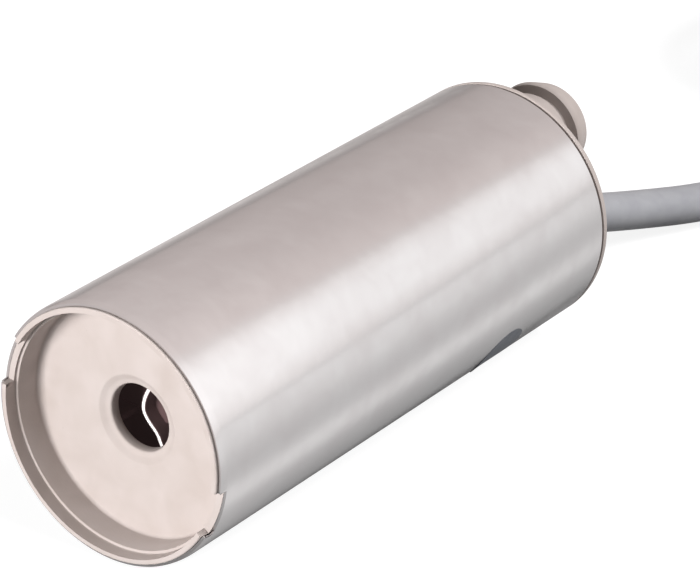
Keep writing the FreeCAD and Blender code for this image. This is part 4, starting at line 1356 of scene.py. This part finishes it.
@dataclass
class CoilTie:
    """The tie round the coil: a flat band with its head on top."""

    width: float = 4.0
    thickness: float = 0.4
    corner: float = 2.6
    corner_steps: int = 8
    gap: float = 0.3
    head: Triple = (5.4, 3.4, 5.6)
    head_edge: float = 0.5
    head_sink: float = 0.2
    tail: Triple = (4.0, 0.9, 3.6)
    tail_place: Pair = (1.6, 1.9)

    def build(self, cable: Cable) -> Object:
        """Make the tie on the side where the coil starts.

        Args:
            cable: The cable that it holds.

        Returns:
            The object, which goes with the cable.
        """
        outward = on_floor(cable.coil_heading - 90)
        start = Vector(cable.coil_start) / MM
        half = cable.diameter / 2 / MM + self.gap
        stack = cable.pitch / MM * len(cable.climbs)
        low, high = self.thickness, start.z + stack + half
        middle = start - outward * (stack / 2)
        middle.z = (low + high) / 2
        turn = turn_to(outward, UP, on_floor(cable.coil_heading + 180))
        size = (stack / 2 + half, (high - low) / 2, 1.0)
        bm = bmesh.new()
        bmesh.ops.create_grid(bm, x_segments=1, y_segments=1, size=1.0)
        bmesh.ops.scale(bm, vec=size, verts=bm.verts[:])
        bmesh.ops.bevel(bm, geom=bm.verts[:], offset=self.corner, offset_type="OFFSET",
                        segments=self.corner_steps, profile=0.5, affect="VERTICES", material=-1)
        bmesh.ops.delete(bm, geom=bm.faces[:], context="FACES_ONLY")
        bmesh.ops.translate(bm, verts=bm.verts[:], vec=(0.0, 0.0, -self.width / 2))
        band = bmesh.ops.extrude_edge_only(bm, edges=bm.edges[:])["geom"]
        bmesh.ops.translate(bm, verts=verts_of(band), vec=(0.0, 0.0, self.width))
        outwards(bm)
        bmesh.ops.solidify(bm, geom=bm.faces[:], thickness=-self.thickness)
        self.add_head(bm, size[1])
        outwards(bm)
        bmesh.ops.transform(bm, matrix=Matrix.Translation(middle) @ turn, verts=bm.verts[:])
        return Piece("tie_band", "tie_plastic", ("coil_tie",)).show(bm, place=IN_METRES)

    def add_head(self, bm: BMesh, top: float) -> None:
        """Add the head and the tail that has been cut short.

        Args:
            bm: The band's mesh.
            top: How high the band reaches above its middle.
        """
        head = bmesh.ops.create_cube(bm, size=1.0)["verts"]
        bmesh.ops.scale(bm, vec=self.head, verts=head)
        edges = {edge for vert in head for edge in vert.link_edges}
        made = break_edges(bm, edges, self.head_edge)
        rise = top + self.head[1] / 2 - self.head_sink
        bmesh.ops.translate(bm, verts=made, vec=(0.0, rise, 0.0))
        tail = bmesh.ops.create_cube(bm, size=1.0)["verts"]
        bmesh.ops.scale(bm, vec=self.tail, verts=tail)
        aside, above = self.tail_place
        bmesh.ops.translate(bm, verts=tail, vec=(self.head[0] / 2 + aside, top + above, 0.0))


# Studio


@dataclass(frozen=True)
class Softbox:
    """A soft lamp: where it stands as seen from the pump, how large and how bright it is."""

    name: str
    direction: Triple
    distance: float
    size: Pair
    power: float

    def hang(self, aim: Vector) -> None:
        """Hang the lamp so that it faces a point. Metal mirrors the world and not the lamp.

        Args:
            aim: The point.
        """
        lamp = bpy.data.lights.new(self.name, "AREA")
        lamp.shape = "RECTANGLE"
        lamp.size, lamp.size_y = self.size
        lamp.energy = self.power
        thing = new_object(self.name, lamp)
        away = Vector(self.direction).normalized()
        facing = away.to_track_quat("Z", "Y").to_matrix().to_4x4()
        thing.matrix_world = Matrix.Translation(aim + away * self.distance) @ facing
        thing.visible_camera = False
        thing.visible_glossy = False


@dataclass
class Studio:
    """A plain pale floor, soft lamps and a white surrounding.

    The lines of levels say what metal and gloss mirror: the surroundings by the angle from +X
    towards +Z, and the floor by X in metres. The share of warm light runs by the same angle.
    """

    floor_half: float = 3.0
    floor_colour: Colour = (136, 136, 136)
    floor_lift: float = 0.88
    diffuse_level: float = 0.03
    aim: Triple = (0.0, 0.0, 0.019)
    boxes: tuple[Softbox, ...] = (
        Softbox("front_key", (-0.12, -0.97, 0.20), 1.1, (0.36, 0.36), 19.5),
        Softbox("side_fill", (0.62, 0.17, 0.74), 1.0, (0.6, 0.6), 13.0),
    )
    brightest: float = 1.8
    surroundings: tuple[Pair, ...] = (
        (-180.0, 0.64), (-20.0, 1.02), (0.0, 1.3), (8.0, 1.52), (20.0, 1.72), (42.0, 1.72),
        (54.0, 1.55), (62.0, 1.22), (80.0, 1.14), (105.0, 1.0), (140.0, 0.9), (162.0, 0.77),
        (180.0, 0.65))
    warm_light: tuple[float, ...] = (1.0, 0.905, 0.88, 1.0)
    warmth: tuple[Pair, ...] = (
        (-180.0, 1.0), (-150.0, 0.6), (-90.0, 0.8), (-20.0, 0.3), (5.0, 0.2), (18.0, 0.0),
        (42.0, 0.0), (52.0, 0.2), (60.0, 0.45), (68.0, 0.85), (140.0, 0.9), (180.0, 1.0))
    rearwards: Pair = (0.66, 0.78)
    falloff: Pair = (1.035, 0.86)
    # Painted shade and light on the floor as metal mirrors it: darkest right under the pump, a
    # bright streak 25 to 28 mm out to the right, and lighter far away.
    mirrored_floor: tuple[Pair, ...] = (
        (-0.2, 0.35), (-0.1, 0.48), (-0.06, 0.52), (-0.04, 0.66), (-0.012, 0.66),
        (0.002, 0.3), (0.008, 0.03), (0.0107, 0.1), (0.015, 0.24),
        (0.0205, 0.44), (0.0245, 0.75), (0.028, 0.78), (0.034, 0.56), (0.042, 0.52),
        (0.055, 0.62), (0.082, 0.8), (0.16, 0.87))

    def rays(self, sheet: NodeSheet) -> tuple[NodeSocket, NodeSocket]:
        """Tell the rays apart.

        Args:
            sheet: The nodes of the floor or the world.

        Returns:
            Whether a ray comes from the camera by way of metal, gloss or glass alone, and
            whether it comes straight from the camera.
        """
        path = sheet.add("ShaderNodeLightPath").outputs
        bent = sheet.math("MAXIMUM", path["Is Glossy Ray"], path["Is Transmission Ray"])
        direct = sheet.math("LESS_THAN", path["Diffuse Depth"], 0.5)
        return sheet.math("MULTIPLY", bent, direct), path["Is Camera Ray"]

    def floor_material(self) -> Material:
        """Draw up the floor, with light of its own: even for the camera, less for near metal.

        Returns:
            The material.
        """
        material = bpy.data.materials.new("pale_floor")
        material.use_nodes = True
        sheet = NodeSheet(material.node_tree)
        place = sheet.add("ShaderNodeTexCoord").outputs["Object"]
        x = sheet.add("ShaderNodeSeparateXYZ", {"Vector": place}).outputs["X"]
        mirrored, to_camera = self.rays(sheet)
        # The floor's glow for mirrored rays is painted shade and light along X, and a painted warm
        # reflection to the left of the axis.
        near = sheet.math("MULTIPLY", sheet.ramp(x, self.mirrored_floor), mirrored)
        plain = sheet.math("MULTIPLY", to_camera, self.floor_lift)
        warm = sheet.math("MULTIPLY", mirrored, sheet.math("LESS_THAN", x, 0.0))
        lift = sheet.add("ShaderNodeEmission", {
            "Color": sheet.blend(warm, WHITE, self.warm_light),
            "Strength": sheet.math("ADD", near, plain)}).outputs["Emission"]
        surface = sheet.add("ShaderNodeBsdfDiffuse", {"Color": linear(self.floor_colour)})
        total = sheet.add("ShaderNodeAddShader", {0: surface.outputs["BSDF"], 1: lift})
        sheet.add("ShaderNodeOutputMaterial", {"Surface": total.outputs["Shader"]})
        return material

    def lay_floor(self) -> None:
        """Lay the floor, which keeps the pump's shadow and is white elsewhere."""
        bm = bmesh.new()
        bmesh.ops.create_grid(bm, x_segments=4, y_segments=4, size=self.floor_half)
        mesh = new_mesh("floor", bm)
        mesh.materials.append(self.floor_material())
        new_object("floor", mesh)

    def surround(self) -> None:
        """Set the world: white for the camera, a soft studio for gloss, plain for the rest."""
        world = bpy.data.worlds.new("studio")
        bpy.context.scene.world = world
        world.use_nodes = True
        sheet = NodeSheet(world.node_tree)
        heading = sheet.add("ShaderNodeTexCoord").outputs["Generated"]
        split = sheet.add("ShaderNodeSeparateXYZ", {"Vector": heading}).outputs
        angle = sheet.math("DEGREES", sheet.math("ARCTAN2", split["Z"], split["X"]))
        mirrored, to_camera = self.rays(sheet)
        level = sheet.ramp(angle, self.surroundings, self.brightest)
        behind = sheet.span(split["Y"], self.rearwards, self.falloff)
        for factor in (behind, self.brightest, mirrored):
            level = sheet.math("MULTIPLY", level, factor)
        other = sheet.math("SUBTRACT", 1.0, sheet.math("MAXIMUM", to_camera, mirrored))
        plain = sheet.math("MULTIPLY", other, self.diffuse_level)
        warm = sheet.math("MULTIPLY", mirrored, sheet.ramp(angle, self.warmth))
        background = sheet.add("ShaderNodeBackground", {
            "Color": sheet.blend(warm, WHITE, self.warm_light),
            "Strength": sheet.math("ADD", sheet.math("ADD", level, plain), to_camera)})
        sheet.add("ShaderNodeOutputWorld", {"Surface": background.outputs["Background"]})

    def build(self) -> None:
        """Set the studio up."""
        self.lay_floor()
        for box in self.boxes:
            box.hang(Vector(self.aim))
        self.surround()


@dataclass
class Viewpoint:
    """The camera, at the photograph's place. Places are millimetres in the frame."""

    place: Triple = (260.05, -353.70, 234.41)
    right: Triple = (0.8065, 0.5913, 0.0)
    up: Triple = (-0.2589, 0.3531, 0.8991)
    focal_pixels: float = 3420.6
    image_width: float = 700.0
    sensor: float = 36.0
    clip: Pair = (0.01, 20.0)

    def build(self) -> None:
        """Set the camera up."""
        camera = bpy.data.cameras.new("camera")
        camera.sensor_fit = "HORIZONTAL"
        camera.sensor_width = self.sensor
        camera.lens = self.focal_pixels / self.image_width * self.sensor
        camera.clip_start, camera.clip_end = self.clip
        right = Vector(self.right).normalized()
        back = right.cross(Vector(self.up)).normalized()
        thing = new_object("camera", camera)
        thing.matrix_world = (Matrix.Translation(Vector(self.place) * MM)
                              @ turn_to(right, back.cross(right), back))
        bpy.context.scene.camera = thing


def main() -> None:
    """Set up the view, the cable, the pump and the studio."""
    logging.basicConfig(level=logging.INFO, format="%(name)s: %(message)s")
    scene = bpy.context.scene
    scene.view_settings.view_transform = "Standard"
    Viewpoint().build()
    SHOP.dress_frame()
    cable = Cable()
    cord = cable.build()
    _, place, heading = cable.coil_points()
    on_cable = BaredEnd().build(place / MM, heading)
    on_cable.append(CoilTie().build(cable))
    for part in (Sleeve(), InletCap(), OutletCap(), Gland(), BlankLabel(), Impeller()):
        part.build()
    Studio().build()


if __name__ == "__main__":
    main()
